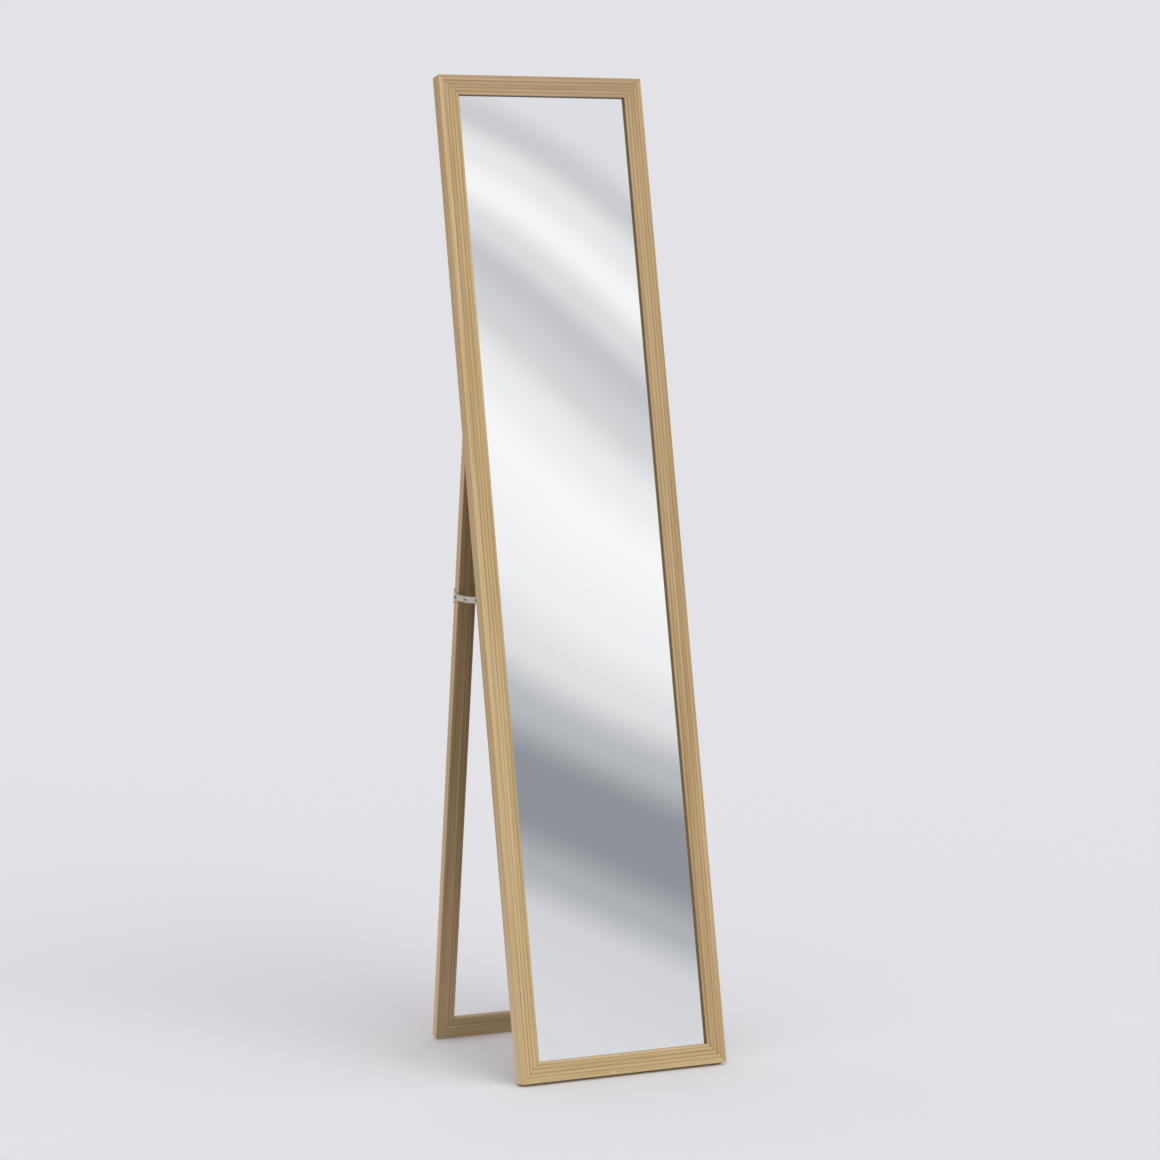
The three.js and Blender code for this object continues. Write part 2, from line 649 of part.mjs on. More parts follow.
for (const [sideName, side] of hingeSides) {
  place(`${sideName}_frame_bracket`, bracket(side, frameEarIn, frameEarOut, FRAME_DEPTH + GAP,
    { depth: FRAME_DEPTH + framePivotDepth, height: STAY_HEIGHT }), zinc, mirrorFrame);
  place(`${sideName}_leg_bracket`, bracket(side, legEarIn, legEarOut, LEG_DEPTH + GAP,
    { depth: legPivotDepth, height: legPivotHeight }), zinc, legFrame);

  const frameHead = frameEarOut + FIT;
  const legHead = rearLinkOut + FIT;
  const middleHead = frontLinkOut + FIT;
  const frameRivet = place(`${sideName}_frame_rivet`,
    rivet(side, [frontLinkIn, frameHead], [frameHead, frameHead + RIVET_HEAD]), zinc, mirrorFrame);
  frameRivet.position.set(0, FRAME_DEPTH + framePivotDepth, STAY_HEIGHT);
  const legRivet = place(`${sideName}_leg_rivet`,
    rivet(side, [legEarIn, legHead], [legHead, legHead + FLAT_HEAD]), zinc, legFrame);
  legRivet.position.set(0, legPivotDepth, legPivotHeight);

  aim(place(`${sideName}_rear_link`, rearLink(side), zinc, stand), legPivot, middlePivot);
  aim(place(`${sideName}_front_link`, frontLink(side), zinc, stand), framePivot, middlePivot);
  const middleRivet = place(`${sideName}_middle_rivet`,
    rivet(side, [frontLinkIn - FIT, middleHead], [middleHead, middleHead + RIVET_HEAD],
      [frontLinkIn - FIT - MIDDLE_BOSS, frontLinkIn - FIT]), zinc, stand);
  aim(middleRivet, middlePivot, framePivot);
}

export default root;
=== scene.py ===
"""Looks of the folding floor mirror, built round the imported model. Lengths are in metres."""
import json
import math

import bmesh
import bpy
import numpy as np
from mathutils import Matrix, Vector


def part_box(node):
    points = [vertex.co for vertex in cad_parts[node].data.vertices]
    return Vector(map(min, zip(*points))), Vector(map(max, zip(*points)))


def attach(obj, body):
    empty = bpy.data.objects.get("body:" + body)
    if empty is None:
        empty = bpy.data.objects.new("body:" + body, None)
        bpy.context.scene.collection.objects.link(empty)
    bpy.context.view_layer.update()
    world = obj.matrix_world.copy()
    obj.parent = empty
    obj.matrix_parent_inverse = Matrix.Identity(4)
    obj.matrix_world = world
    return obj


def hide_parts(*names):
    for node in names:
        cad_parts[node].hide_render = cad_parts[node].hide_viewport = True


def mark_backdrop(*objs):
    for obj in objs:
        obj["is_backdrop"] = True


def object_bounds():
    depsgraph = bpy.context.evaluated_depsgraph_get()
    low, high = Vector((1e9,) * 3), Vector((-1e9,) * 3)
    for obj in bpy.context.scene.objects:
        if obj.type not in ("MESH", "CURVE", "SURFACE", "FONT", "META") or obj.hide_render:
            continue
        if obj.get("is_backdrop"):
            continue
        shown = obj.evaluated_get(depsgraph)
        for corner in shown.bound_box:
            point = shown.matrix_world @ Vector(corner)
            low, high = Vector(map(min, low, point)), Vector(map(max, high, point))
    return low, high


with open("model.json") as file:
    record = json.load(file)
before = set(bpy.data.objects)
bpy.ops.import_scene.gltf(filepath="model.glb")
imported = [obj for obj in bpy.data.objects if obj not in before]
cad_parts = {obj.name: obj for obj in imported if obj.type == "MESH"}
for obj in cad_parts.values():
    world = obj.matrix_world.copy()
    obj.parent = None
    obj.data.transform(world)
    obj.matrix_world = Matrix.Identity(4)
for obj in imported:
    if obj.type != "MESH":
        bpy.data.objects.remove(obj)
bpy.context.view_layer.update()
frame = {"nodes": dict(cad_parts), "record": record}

MM = 0.001

# ---- The two leaning frames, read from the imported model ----

MEMBERS = ("left_stile", "top_rail", "right_stile", "bottom_rail")
ACROSS, BACK, UP = 0, 1, 2
SIDES = (("left", -1), ("right", 1))


def corners_of(node):
    """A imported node's vertices as an array, in the row frame."""
    mesh = frame["nodes"][node].data
    found = np.empty(3 * len(mesh.vertices), np.float32)
    mesh.vertices.foreach_get("co", found)
    return found.reshape(-1, 3).astype(float)


def leaning_frame(foot_mount, prefix):
    """A frame's axes, origin and size. Up is the foot mount's axis turned round, and back is up
    turned a quarter about X. The origin is the middle of the foot at the front plane."""
    mount = next(m for m in frame["record"]["mounts"] if m["name"] == foot_mount)
    up = -np.array(mount["axis"], float)
    up /= np.linalg.norm(up)
    axes = np.array([[1.0, 0.0, 0.0], [0.0, up[2], -up[1]], up])
    members = np.concatenate([corners_of(prefix + member) for member in MEMBERS]) @ axes.T
    low, high = members.min(axis=0), members.max(axis=0)
    return {
        "axes": axes,
        "origin": np.array([0.0, low[BACK], low[UP]]),
        "width": high[ACROSS] - low[ACROSS],
        "depth": high[BACK] - low[BACK],
        "height": high[UP] - low[UP],
    }


def seated(local, lean):
    """Points given across, back and up a leaning frame, brought to the row frame."""
    return (np.asarray(local, float) + lean["origin"]) @ lean["axes"]


def measured(point, lean):
    """Points of the row frame, given across, back and up a leaning frame."""
    return np.asarray(point, float) @ lean["axes"].T - lean["origin"]


def reach(node, lean):
    """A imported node's lowest and highest place across, back and up its leaning frame."""
    local = measured(corners_of(node), lean)
    return local.min(axis=0), local.max(axis=0)


mirror_lean = leaning_frame("frame_foot", "frame_")
leg_lean = leaning_frame("leg_foot", "leg_")
joints = {joint["name"]: joint for joint in frame["record"]["behaviour"]["joints"]}

# ---- Finishes ----


def colour(red, green, blue):
    """A colour given as 0 to 255 on a screen, as linear light."""
    screen = np.array([red, green, blue]) / 255
    linear = np.where(screen <= 0.04045, screen / 12.92, ((screen + 0.055) / 1.055) ** 2.4)
    return (*linear.tolist(), 1.0)


class Finish:
    """A material in the making. Each method adds a node and gives the socket it puts out."""

    def __init__(self, name):
        self.material = bpy.data.materials.new(name)
        self.material.use_nodes = True
        self.tree = self.material.node_tree
        self.tree.nodes.clear()

    def add(self, kind, values, output=0, **settings):
        """A shader node of that kind. Values go to its inputs; one that is a socket is linked."""
        made = self.tree.nodes.new(kind)
        for setting, value in settings.items():
            setattr(made, setting, value)
        for socket, value in values.items():
            if isinstance(value, bpy.types.NodeSocket):
                self.tree.links.new(value, made.inputs[socket])
            else:
                made.inputs[socket].default_value = value
        return made.outputs[output] if made.outputs else None

    def ramp(self, factor, stops, interpolation="LINEAR"):
        """A colour ramp from (place, shade) stops; a shade is a colour or a grey level."""
        socket = self.add("ShaderNodeValToRGB", {"Fac": factor})
        socket.node.color_ramp.interpolation = interpolation
        elements = socket.node.color_ramp.elements
        while len(elements) < len(stops):
            elements.new(1.0)
        for element, (place, shade) in zip(elements, stops):
            element.position = place
            element.color = shade if isinstance(shade, tuple) else (shade, shade, shade, 1.0)
        return socket

    def stretched(self, vector, scale):
        """A place with each coordinate multiplied."""
        return self.add("ShaderNodeMapping", {"Vector": vector, "Scale": scale})

    def noise(self, vector, scale, detail=2.0, roughness=0.5, distortion=0.0):
        """Noise; a scale of three numbers stretches it."""
        if isinstance(scale, tuple):
            vector, scale = self.stretched(vector, scale), 1.0
        return self.add("ShaderNodeTexNoise", {
            "Vector": vector, "Scale": scale, "Detail": detail, "Roughness": roughness,
            "Distortion": distortion})

    def times(self, first, second, clamp=False):
        return self.add("ShaderNodeMath", {0: first, 1: second}, operation="MULTIPLY",
                        use_clamp=clamp)

    def summed(self, *parts):
        """The sum of (socket, weight) pairs."""
        weighed = [part if weight == 1 else self.times(part, weight) for part, weight in parts]
        total = weighed[-1]
        for part in weighed[-2::-1]:
            total = self.add("ShaderNodeMath", {0: part, 1: total}, operation="ADD")
        return total

    def mixed(self, factor, first, second, blend="MIX"):
        return self.add("ShaderNodeMix", {0: factor, 6: first, 7: second}, 2, data_type="RGBA",
                        blend_type=blend)

    def place(self):
        return self.add("ShaderNodeTexCoord", {}, "Object")

    def attribute(self, name, output="Fac"):
        return self.add("ShaderNodeAttribute", {}, output, attribute_name=name)

    def bumped(self, height, strength, distance):
        return self.add("ShaderNodeBump", {
            "Height": height, "Strength": strength, "Distance": distance})

    def shown(self, shader):
        """The material, with that shader on its surface."""
        self.add("ShaderNodeOutputMaterial", {"Surface": shader})
        return self.material

    def surface(self, values):
        """The material, with a Principled shader of those values."""
        return self.shown(self.add("ShaderNodeBsdfPrincipled", values))


def wood_foil(name, pale, middle, deep, recess_shadow_colour, scuff=None):
    """Straight-grained wood foil. Broad bands, fine streaks and short pores all run along the
    length of each moulding. Worn edges are paler, the hollows are darkened by a painted shade, and
    the whole is multiplied by each length's tone, which is painted light and shade."""
    foil = Finish(name)
    grain = foil.attribute("grain", "Vector")
    bands = foil.noise(grain, (150, 150, 1.6), 2.0, 0.55, 0.25)
    streaks = foil.noise(grain, (560, 560, 4.2), 3.0, 0.6, 0.35)
    fine = foil.noise(grain, (1500, 1500, 14))
    pores = foil.noise(grain, (3400, 3400, 95), 1.0)
    figure = foil.summed((bands, 0.42), (streaks, 0.4), (fine, 0.18))
    tone = foil.ramp(figure, [(0.36, deep), (0.5, middle), (0.64, pale)])
    pore_mask = foil.ramp(pores, [(0.30, 1.0), (0.40, 0.0)])
    pored = foil.mixed(foil.times(pore_mask, 0.35), tone, deep)
    # Painted shade: the hollows and the inner wall under the lip are mixed toward a darker colour.
    painted_recess_shade = foil.times(foil.attribute("hollow"), 0.8, True)
    recess_shaded = foil.mixed(painted_recess_shade, pored, recess_shadow_colour)
    chips = foil.noise(grain, (420, 420, 160), 4.0, 0.7)
    worn = foil.times(foil.attribute("wear"), foil.ramp(chips, [(0.46, 0.0), (0.62, 1.0)]))
    coloured = foil.mixed(foil.times(worn, 0.6, True), recess_shaded, pale)
    if scuff is not None:
        place = foil.place()
        ragged = foil.noise(place, 900.0, 3.0, 0.6)
        away = foil.add("ShaderNodeVectorMath", {
            0: foil.stretched(place, scuff["stretch"]), 1: scuff["place"]}, "Value",
            operation="DISTANCE")
        away = foil.summed((away, 1), (ragged, scuff["ragged"]))
        mark = foil.ramp(foil.times(away, 1 / scuff["size"]), [(0.55, 1.0), (0.95, 0.0)])
        coloured = foil.mixed(mark, coloured, scuff["shade"])
    relief = foil.summed((figure, 1), (pore_mask, -0.5))
    return foil.surface({
        # The tone attribute multiplies in painted light and shade: per member, on the sides and
        # inner walls, and a painted floor bounce near the foot.
        "Base Color": foil.mixed(1.0, coloured, foil.attribute("tone", "Vector"), "MULTIPLY"),
        "Roughness": foil.ramp(figure, [(0.35, 0.6), (0.65, 0.46)]),
        "Specular IOR Level": 0.4, "Normal": foil.bumped(relief, 0.35, 0.0003)})


def raw_board(name, shade, dark):
    """Bare fibre board behind the foil: fine fibres, darker flecks and a faint sanding pattern."""
    board = Finish(name)
    grain = board.attribute("grain", "Vector")
    fibres = board.noise(grain, (900, 900, 500), 5.0, 0.65)
    flecks = board.noise(grain, (260, 260, 150), 3.0, 0.6)
    sanding = board.noise(grain, (2600, 2600, 30), 1.0)
    matted = board.summed((fibres, 0.6), (flecks, 0.4))
    relief = board.summed((fibres, 1), (sanding, 0.4))
    return board.surface({
        "Base Color": board.ramp(matted, [(0.36, dark), (0.6, shade)]), "Roughness": 0.86,
        "Specular IOR Level": 0.25, "Normal": board.bumped(relief, 0.3, 0.0003)})


def mirror_face(name):
    """The silvered face seen through clear glass: almost sharp, with faint wiping marks."""
    glass = Finish(name)
    wiping = glass.noise(glass.place(), (7, 7, 3), 4.0, 0.6, 1.2)
    dust = glass.noise(glass.place(), 2400.0, 1.0)
    film = glass.summed((wiping, 1), (dust, 0.25))
    return glass.surface({
        "Base Color": glass.ramp(film, [(0.4, 0.94), (0.95, (0.925, 0.926, 0.928, 1.0))]),
        "Metallic": 1.0, "Roughness": glass.ramp(film, [(0.45, 0.0), (0.95, 0.028)])})


def glass_edge(name):
    """The ground green edge of the float glass."""
    edge = Finish(name)
    grinding = edge.noise(edge.place(), (300, 300, 300), 3.0, 0.6)
    tone = edge.ramp(grinding, [(0.35, colour(70, 112, 98)), (0.65, colour(132, 168, 152))])
    return edge.surface({
        "Base Color": tone, "Roughness": 0.32, "IOR": 1.52,
        "Normal": edge.bumped(grinding, 0.2, 0.0002)})


def back_paint(name):
    """The grey paint that protects the silvering."""
    paint = Finish(name)
    rolled = paint.noise(paint.place(), 260.0, 4.0, 0.6)
    tone = paint.ramp(rolled, [(0.35, colour(86, 92, 96)), (0.65, colour(110, 115, 118))])
    return paint.surface({
        "Base Color": tone, "Roughness": 0.62, "Normal": paint.bumped(rolled, 0.2, 0.0003)})


def hardboard(name):
    """Pressed hardboard: matted fibres, darker patches, and the woven print of the press screen."""
    board = Finish(name)
    place = board.place()
    fibres = board.noise(place, (420, 420, 420), 6.0, 0.68, 0.6)
    patches = board.noise(place, 9.0, 3.0, 0.55)
    strands = board.noise(place, (1300, 300, 90), 2.0, 0.6, 0.8)
    matted = board.summed((fibres, 0.5), (patches, 0.25), (strands, 0.25))
    tone = board.ramp(matted, [
        (0.36, colour(84, 58, 36)), (0.5, colour(122, 90, 60)), (0.64, colour(150, 116, 82))])
    print_across, print_up = (
        board.add("ShaderNodeTexWave", {"Vector": place, "Scale": 175.0}, "Fac",
                  wave_type="BANDS", bands_direction=way) for way in "XZ")
    relief = board.summed((board.times(print_across, print_up), 1), (fibres, 0.8))
    return board.surface({
        "Base Color": tone, "Roughness": 0.78, "Specular IOR Level": 0.3,
        "Normal": board.bumped(relief, 0.45, 0.0004)})


def plated_metal(name, bright, dull, low_roughness, high_roughness, stain=0.35):
    """Plated steel: cloudy plating, fine rolling scratches, dull stains, and painted shade in its
    recesses.
    """
    steel = Finish(name)
    place = steel.place()
    clouds = steel.noise(place, 210.0, 4.0, 0.6)
    scratches = steel.noise(place, (2200, 240, 2200), 2.0, 0.6)
    stains = steel.ramp(steel.noise(place, 620.0, 3.0, 0.65), [(0.5, 0.0), (0.7, 1.0)])
    clouded = steel.ramp(clouds, [(0.35, dull), (0.65, bright)])
    tone = steel.mixed(steel.times(stains, stain), clouded, dull)
    # Painted shade: screw recesses and rivet holes are mixed toward a near black colour.
    painted_recess_shade = steel.times(steel.attribute("hollow"), 0.92, True)
    film = steel.summed((clouds, 0.6), (scratches, 0.4))
    return steel.surface({
        "Base Color": steel.mixed(painted_recess_shade, tone, colour(34, 31, 28)), "Metallic": 1.0,
        "Roughness": steel.ramp(film, [(0.35, low_roughness), (0.65, high_roughness)]),
        "Normal": steel.bumped(film, 0.15, 0.0001)})


SCUFF_ACROSS = -21 * MM
SCUFF_UP = 4.2 * MM
scuff_stretch = np.array([0.62, 1.0, 1.3])
scuff_place = seated([SCUFF_ACROSS, 0.0, SCUFF_UP], mirror_lean) * scuff_stretch

# Each foil's fourth colour is the painted shade for its hollows.
oak_foil = wood_foil(
    "oak_foil", colour(223, 199, 149), colour(205, 179, 128), colour(178, 149, 98),
    colour(148, 118, 73), {
        "place": scuff_place.tolist(), "stretch": scuff_stretch.tolist(), "size": 3.2 * MM,
        "ragged": 2.2 * MM, "shade": colour(240, 228, 205)})
leg_foil = wood_foil(
    "leg_foil", colour(208, 184, 147), colour(190, 165, 127), colour(162, 136, 98),
    colour(138, 112, 78))
bare_board = raw_board("bare_fibre_board", colour(172, 142, 108), colour(132, 103, 74))
silvered = mirror_face("silvered_glass")
ground_edge = glass_edge("ground_glass_edge")
grey_paint = back_paint("grey_back_paint")
pressed_board = hardboard("pressed_hardboard")
zinc = plated_metal("zinc_plate", colour(216, 209, 195), colour(180, 172, 157), 0.3, 0.5)
pin_steel = plated_metal("pin_steel", colour(176, 173, 167), colour(122, 118, 112), 0.26, 0.42)
nail_steel = plated_metal(
    "nail_steel", colour(168, 170, 173), colour(122, 123, 126), 0.34, 0.55, 0.5)

# ---- Making pieces ----


def strip_faces(rows, columns, closed=True):
    """Four-sided faces between the rows of a grid of points; closed joins its last column to
    its first."""
    row = np.arange(rows - 1)[:, None]
    column = np.arange(columns if closed else columns - 1)[None, :]
    after = (column + 1) % columns
    return np.stack([row * columns + column, row * columns + after,
                     (row + 1) * columns + after, (row + 1) * columns + column], -1).reshape(-1, 4)


def capped_tube(rows, columns):
    """The faces of a closed tube: its wall, and one face at each end."""
    wall = strip_faces(rows, columns).tolist()
    first = list(range(columns))[::-1]
    last = list(range((rows - 1) * columns, rows * columns))
    return wall + [first, last]


WELD = 0.002 * MM


def placed(name, data):
    """An object of that mesh, lamp or lens, put in the scene."""
    made = bpy.data.objects.new(name, data)
    bpy.context.scene.collection.objects.link(made)
    return made


def sheet_of(name, points, faces, finishes, marks):
    """A mesh from points and faces, with its finishes, and with its marks as point attributes."""
    mesh = bpy.data.meshes.new(name)
    mesh.from_pydata(np.asarray(points, float).tolist(), [], [list(face) for face in faces])
    for mark, values in marks.items():
        values = np.asarray(values, np.float32)
        layer = mesh.attributes.new(mark, "FLOAT_VECTOR" if values.ndim == 2 else "FLOAT", "POINT")
        layer.data.foreach_set("vector" if values.ndim == 2 else "value", values.ravel())
    for finish in finishes:
        mesh.materials.append(finish)
    return mesh


def merged(mesh, outward=False):
    """Doubles merged, and if asked, every face of a closed mesh turned outward."""
    shell = bmesh.new()
    shell.from_mesh(mesh)
    bmesh.ops.remove_doubles(shell, verts=shell.verts, dist=WELD)
    if outward:
        bmesh.ops.recalc_face_normals(shell, faces=shell.faces)
    shell.to_mesh(mesh)
    shell.free()


def make_piece(name, points, faces, finishes, body, replaces, finish_of_face=None,
               marks=None, sharp=40.0):
    """A piece from points and faces: doubles merged, faces turned outward, edges sharper than
    `sharp` degrees kept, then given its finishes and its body."""
    mesh = sheet_of(name, points, faces, finishes, marks or {})
    if finish_of_face is not None:
        mesh.polygons.foreach_set("material_index", np.asarray(finish_of_face, np.int32))
    merged(mesh, outward=True)
    mesh.shade_smooth()
    mesh.set_sharp_from_angle(angle=math.radians(sharp))
    made = placed(name, mesh)
    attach(made, body)
    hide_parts(*replaces)


def together(*parts):
    """Several (points, faces) shells as one."""
    points, faces, start = [], [], 0
    for part_points, part_faces in parts:
        points.append(np.asarray(part_points, float))
        faces += [[index + start for index in face] for face in part_faces]
        start += len(part_points)
    return np.concatenate(points), faces


def eased(corners, radius, steps=5, closed=True):
    """A line through corners with each corner rounded: between two places `radius` from the
    corner it follows the curve (1-t)^2 A + 2t(1-t) B + t^2 C. An open line keeps its ends."""
    corners = np.asarray(corners, float)
    before = np.roll(corners, 1, axis=0) - corners
    after = np.roll(corners, -1, axis=0) - corners
    long_before = np.linalg.norm(before, axis=1, keepdims=True)
    long_after = np.linalg.norm(after, axis=1, keepdims=True)
    radius = np.broadcast_to(np.asarray(radius, float), (len(corners),))[:, None]
    enter = corners + before / long_before * np.minimum(radius, 0.49 * long_before)
    leave = corners + after / long_after * np.minimum(radius, 0.49 * long_after)
    t = np.linspace(0, 1, steps)[None, :, None]
    rounded = ((1 - t) ** 2 * enter[:, None] + 2 * t * (1 - t) * corners[:, None]
               + t ** 2 * leave[:, None])
    if closed:
        return rounded.reshape(-1, corners.shape[1])
    inner = rounded[1:-1].reshape(-1, corners.shape[1])
    return np.concatenate([corners[:1], inner, corners[-1:]])


def quarter(steps):
    """The angles of a quarter turn."""
    return np.linspace(0, math.pi / 2, steps)


def eased_plate(outline, thickness, ease, steps=4):
    """A flat plate in (a, b, c): the outline is carried through the thickness c, and drawn in at
    both faces along quarter rounds, ease * (1 - sin) in and ease * (1 - cos) down."""
    outline = np.asarray(outline, float)
    along = np.roll(outline, -1, axis=0) - np.roll(outline, 1, axis=0)
    along /= np.linalg.norm(along, axis=1, keepdims=True)
    area = np.sum(outline[:, 0] * np.roll(outline[:, 1], -1)
                  - outline[:, 1] * np.roll(outline[:, 0], -1))
    inward = np.stack([-along[:, 1], along[:, 0]], 1) * np.sign(area)
    turn = quarter(steps)
    drawn_in = np.concatenate([ease * (1 - np.sin(turn)), ease * (1 - np.sin(turn[::-1]))])
    sunk = ease * (1 - np.cos(turn))
    level = np.concatenate([sunk, thickness - sunk[::-1]])
    flat = outline[None] + drawn_in[:, None, None] * inward[None]
    deep = np.broadcast_to(level[:, None, None], flat.shape[:2] + (1,))
    return (np.concatenate([flat, deep], 2).reshape(-1, 3),
            capped_tube(len(level), len(outline)))


def bent_strip(path, across, half_width, thickness, ease=0.2 * MM):
    """A strip of sheet metal: a rounded rectangle, half_width wide each way along `across` and
    `thickness` thick, is carried along the path, square to it, and capped at both ends."""
    path = np.asarray(path, float)
    across = np.asarray(across, float)
    half_width = np.broadcast_to(np.asarray(half_width, float), (len(path),))[:, None]
    heading = np.gradient(path, axis=0)
    heading /= np.linalg.norm(heading, axis=1, keepdims=True)
    outward = np.cross(heading, across)
    turn = np.concatenate([quarter(4) + corner * math.pi / 2 for corner in range(4)])
    wide = np.repeat([1, -1, -1, 1], 4)
    deep = np.repeat([1, 1, -1, -1], 4)
    rounding = np.minimum(min(ease, 0.45 * thickness), half_width)
    sideways = wide * (half_width - rounding) + rounding * np.cos(turn)
    upward = deep * (thickness / 2 - rounding) + rounding * np.sin(turn)
    points = path[:, None] + sideways[..., None] * across + upward[..., None] * outward[:, None]
    return points.reshape(-1, 3), capped_tube(len(path), len(turn))


def path_of(first, second, third):
    """A path from its three coordinates; one that is a single number is the same all along."""
    return np.stack(np.broadcast_arrays(first, second, third), 1)


def turned(profile, turns=32):
    """A turned shape: a profile of (radius, height) pairs carried round the height axis, as
    radius * cos, radius * sin and height."""
    profile = np.asarray(profile, float)
    angle = np.linspace(0, 2 * math.pi, turns, endpoint=False)
    radius = profile[:, :1]
    height = np.broadcast_to(profile[:, 1:], (len(profile), turns))
    points = np.stack([radius * np.cos(angle), radius * np.sin(angle), height], -1)
    return points.reshape(-1, 3), capped_tube(len(profile), turns)


def dome(radius, rise, foot, steps=7):
    """A domed head's profile from its rim in to its crown: radius * cos and foot + rise * sin."""
    turn = quarter(steps)
    return np.stack([radius * np.cos(turn), foot + rise * np.sin(turn)], 1)


def stood(points, origin, axis, way=1):
    """Turned points with their height axis laid along `axis` (ACROSS, BACK or UP) from `origin`,
    or the other way for way -1."""
    spread = np.zeros_like(points)
    spread[:, axis] = way * points[:, 2]
    spread[:, (axis + 1) % 3] = points[:, 0]
    spread[:, (axis + 2) % 3] = way * points[:, 1]
    return spread + np.asarray(origin, float)

# ---- Mouldings ----

FACE_WIDTH = 31.5 * MM
EDGE_ROUND = 1.6 * MM
OUTER_STEPS = 8
LIP_DEPTH = 5.5 * MM
REBATE_WIDTH = 8 * MM
PLAIN_BAND = 9 * MM
SIGHT_REED = 5.1 * MM
GROOVE_COUNT = 4
GROOVE_WIDTH = 1.5 * MM
GROOVE_DEPTH = 0.7 * MM
REED_CROWN = 0.3 * MM
SCRIBE_PLACE = 3.8 * MM
SCRIBE_WIDTH = 0.9 * MM
SCRIBE_DEPTH = 0.25 * MM
SIGHT_ROUND = 1.1 * MM
LEG_EDGE_ROUND = 1.5 * MM
LEG_BAND_DROP = 0.5 * MM
LEG_RIDGE = 3.6 * MM
LEG_QUIRK = 1.3 * MM
LEG_QUIRK_DEPTH = 1.2 * MM
LEG_BEAD = 5.6 * MM
LEG_STEP = 5 * MM
LEG_STEP_DROP = 2.6 * MM
LEG_STEP_SLOPE = 0.15 * MM
LEG_INNER_ROUND = 0.7 * MM
MITRE_GAP = 0.2 * MM
BACK_EASE = 0.5 * MM
FRAME_CORNER_ROUND = 2.4 * MM
LEG_CORNER_ROUND = 6 * MM


def hump(across):
    """A smooth hump, cos^2 of a quarter turn, 1 at 0 and 0 from -1 and 1 outward."""
    return np.where(np.abs(across) < 1, np.cos(across * math.pi / 2) ** 2, 0.0)


def smooth_step(t):
    """From 0 at 0 to 1 at 1 by 3t^2 - 2t^3, and level outside."""
    t = np.clip(t, 0, 1)
    return t ** 2 * (3 - 2 * t)


def between(edges, count):
    """Places along each stretch between neighbouring edges, as one sorted array."""
    edges = np.asarray(edges, float)
    share = np.linspace(0, 1, count, endpoint=False)
    inner = edges[:-1, None] + np.diff(edges)[:, None] * share
    return np.append(inner.ravel(), edges[-1])


def outer_round(radius):
    """The quarter round from the outer side to the front: radius * (1 - cos) inward and
    radius * (1 - sin) back."""
    turn = quarter(OUTER_STEPS)
    return np.stack([radius * (1 - np.cos(turn)), radius * (1 - np.sin(turn))], 1)


def frame_profile(depth):
    """The mirror frame's section, inward and back from its outer front edge. The face is a plain
    band with a scribed line, then crowned reeds, REED_CROWN * (2q - 1)^2 deep across each, between
    grooves that are humps GROOVE_DEPTH deep; a round sight edge and the rebate follow."""
    pitch = (FACE_WIDTH - PLAIN_BAND - SIGHT_REED) / (GROOVE_COUNT - 1)
    grooves = PLAIN_BAND + pitch * np.arange(GROOVE_COUNT)
    half = GROOVE_WIDTH / 2
    edges = np.sort(np.concatenate([
        [EDGE_ROUND, SCRIBE_PLACE - SCRIBE_WIDTH / 2, SCRIBE_PLACE + SCRIBE_WIDTH / 2],
        grooves - half, grooves + half, [FACE_WIDTH - SIGHT_ROUND]]))
    x = between(edges, 8)[1:]
    reed_start = grooves + half
    reed_end = np.append(grooves[1:] - half, FACE_WIDTH)
    in_reed = (x[:, None] >= reed_start) & (x[:, None] <= reed_end)
    share = (x[:, None] - reed_start) / (reed_end - reed_start)
    crown = np.sum(np.where(in_reed, REED_CROWN * (2 * share - 1) ** 2, 0), axis=1)
    groove = hump((x[:, None] - grooves) / half)
    past_band = np.clip((x - PLAIN_BAND) / half, 0, 1)
    floor = np.where(np.any(groove > 0, axis=1), REED_CROWN * past_band, crown)
    y = floor + (GROOVE_DEPTH - floor) * groove.max(axis=1)
    y = y + SCRIBE_DEPTH * hump((x - SCRIBE_PLACE) / (SCRIBE_WIDTH / 2))
    turn = quarter(7)[1:]
    sight = np.stack([FACE_WIDTH - SIGHT_ROUND * (1 - np.sin(turn)),
                      y[-1] + SIGHT_ROUND * (1 - np.cos(turn))], 1)
    face = np.concatenate([outer_round(EDGE_ROUND), np.stack([x, y], 1), sight])
    rebate = FACE_WIDTH - REBATE_WIDTH
    hidden = np.array([
        [FACE_WIDTH, LIP_DEPTH], [rebate, LIP_DEPTH], [rebate, depth - BACK_EASE],
        [rebate - BACK_EASE, depth], [BACK_EASE, depth]])
    return face, hidden, np.array([[0.0, depth - BACK_EASE]])


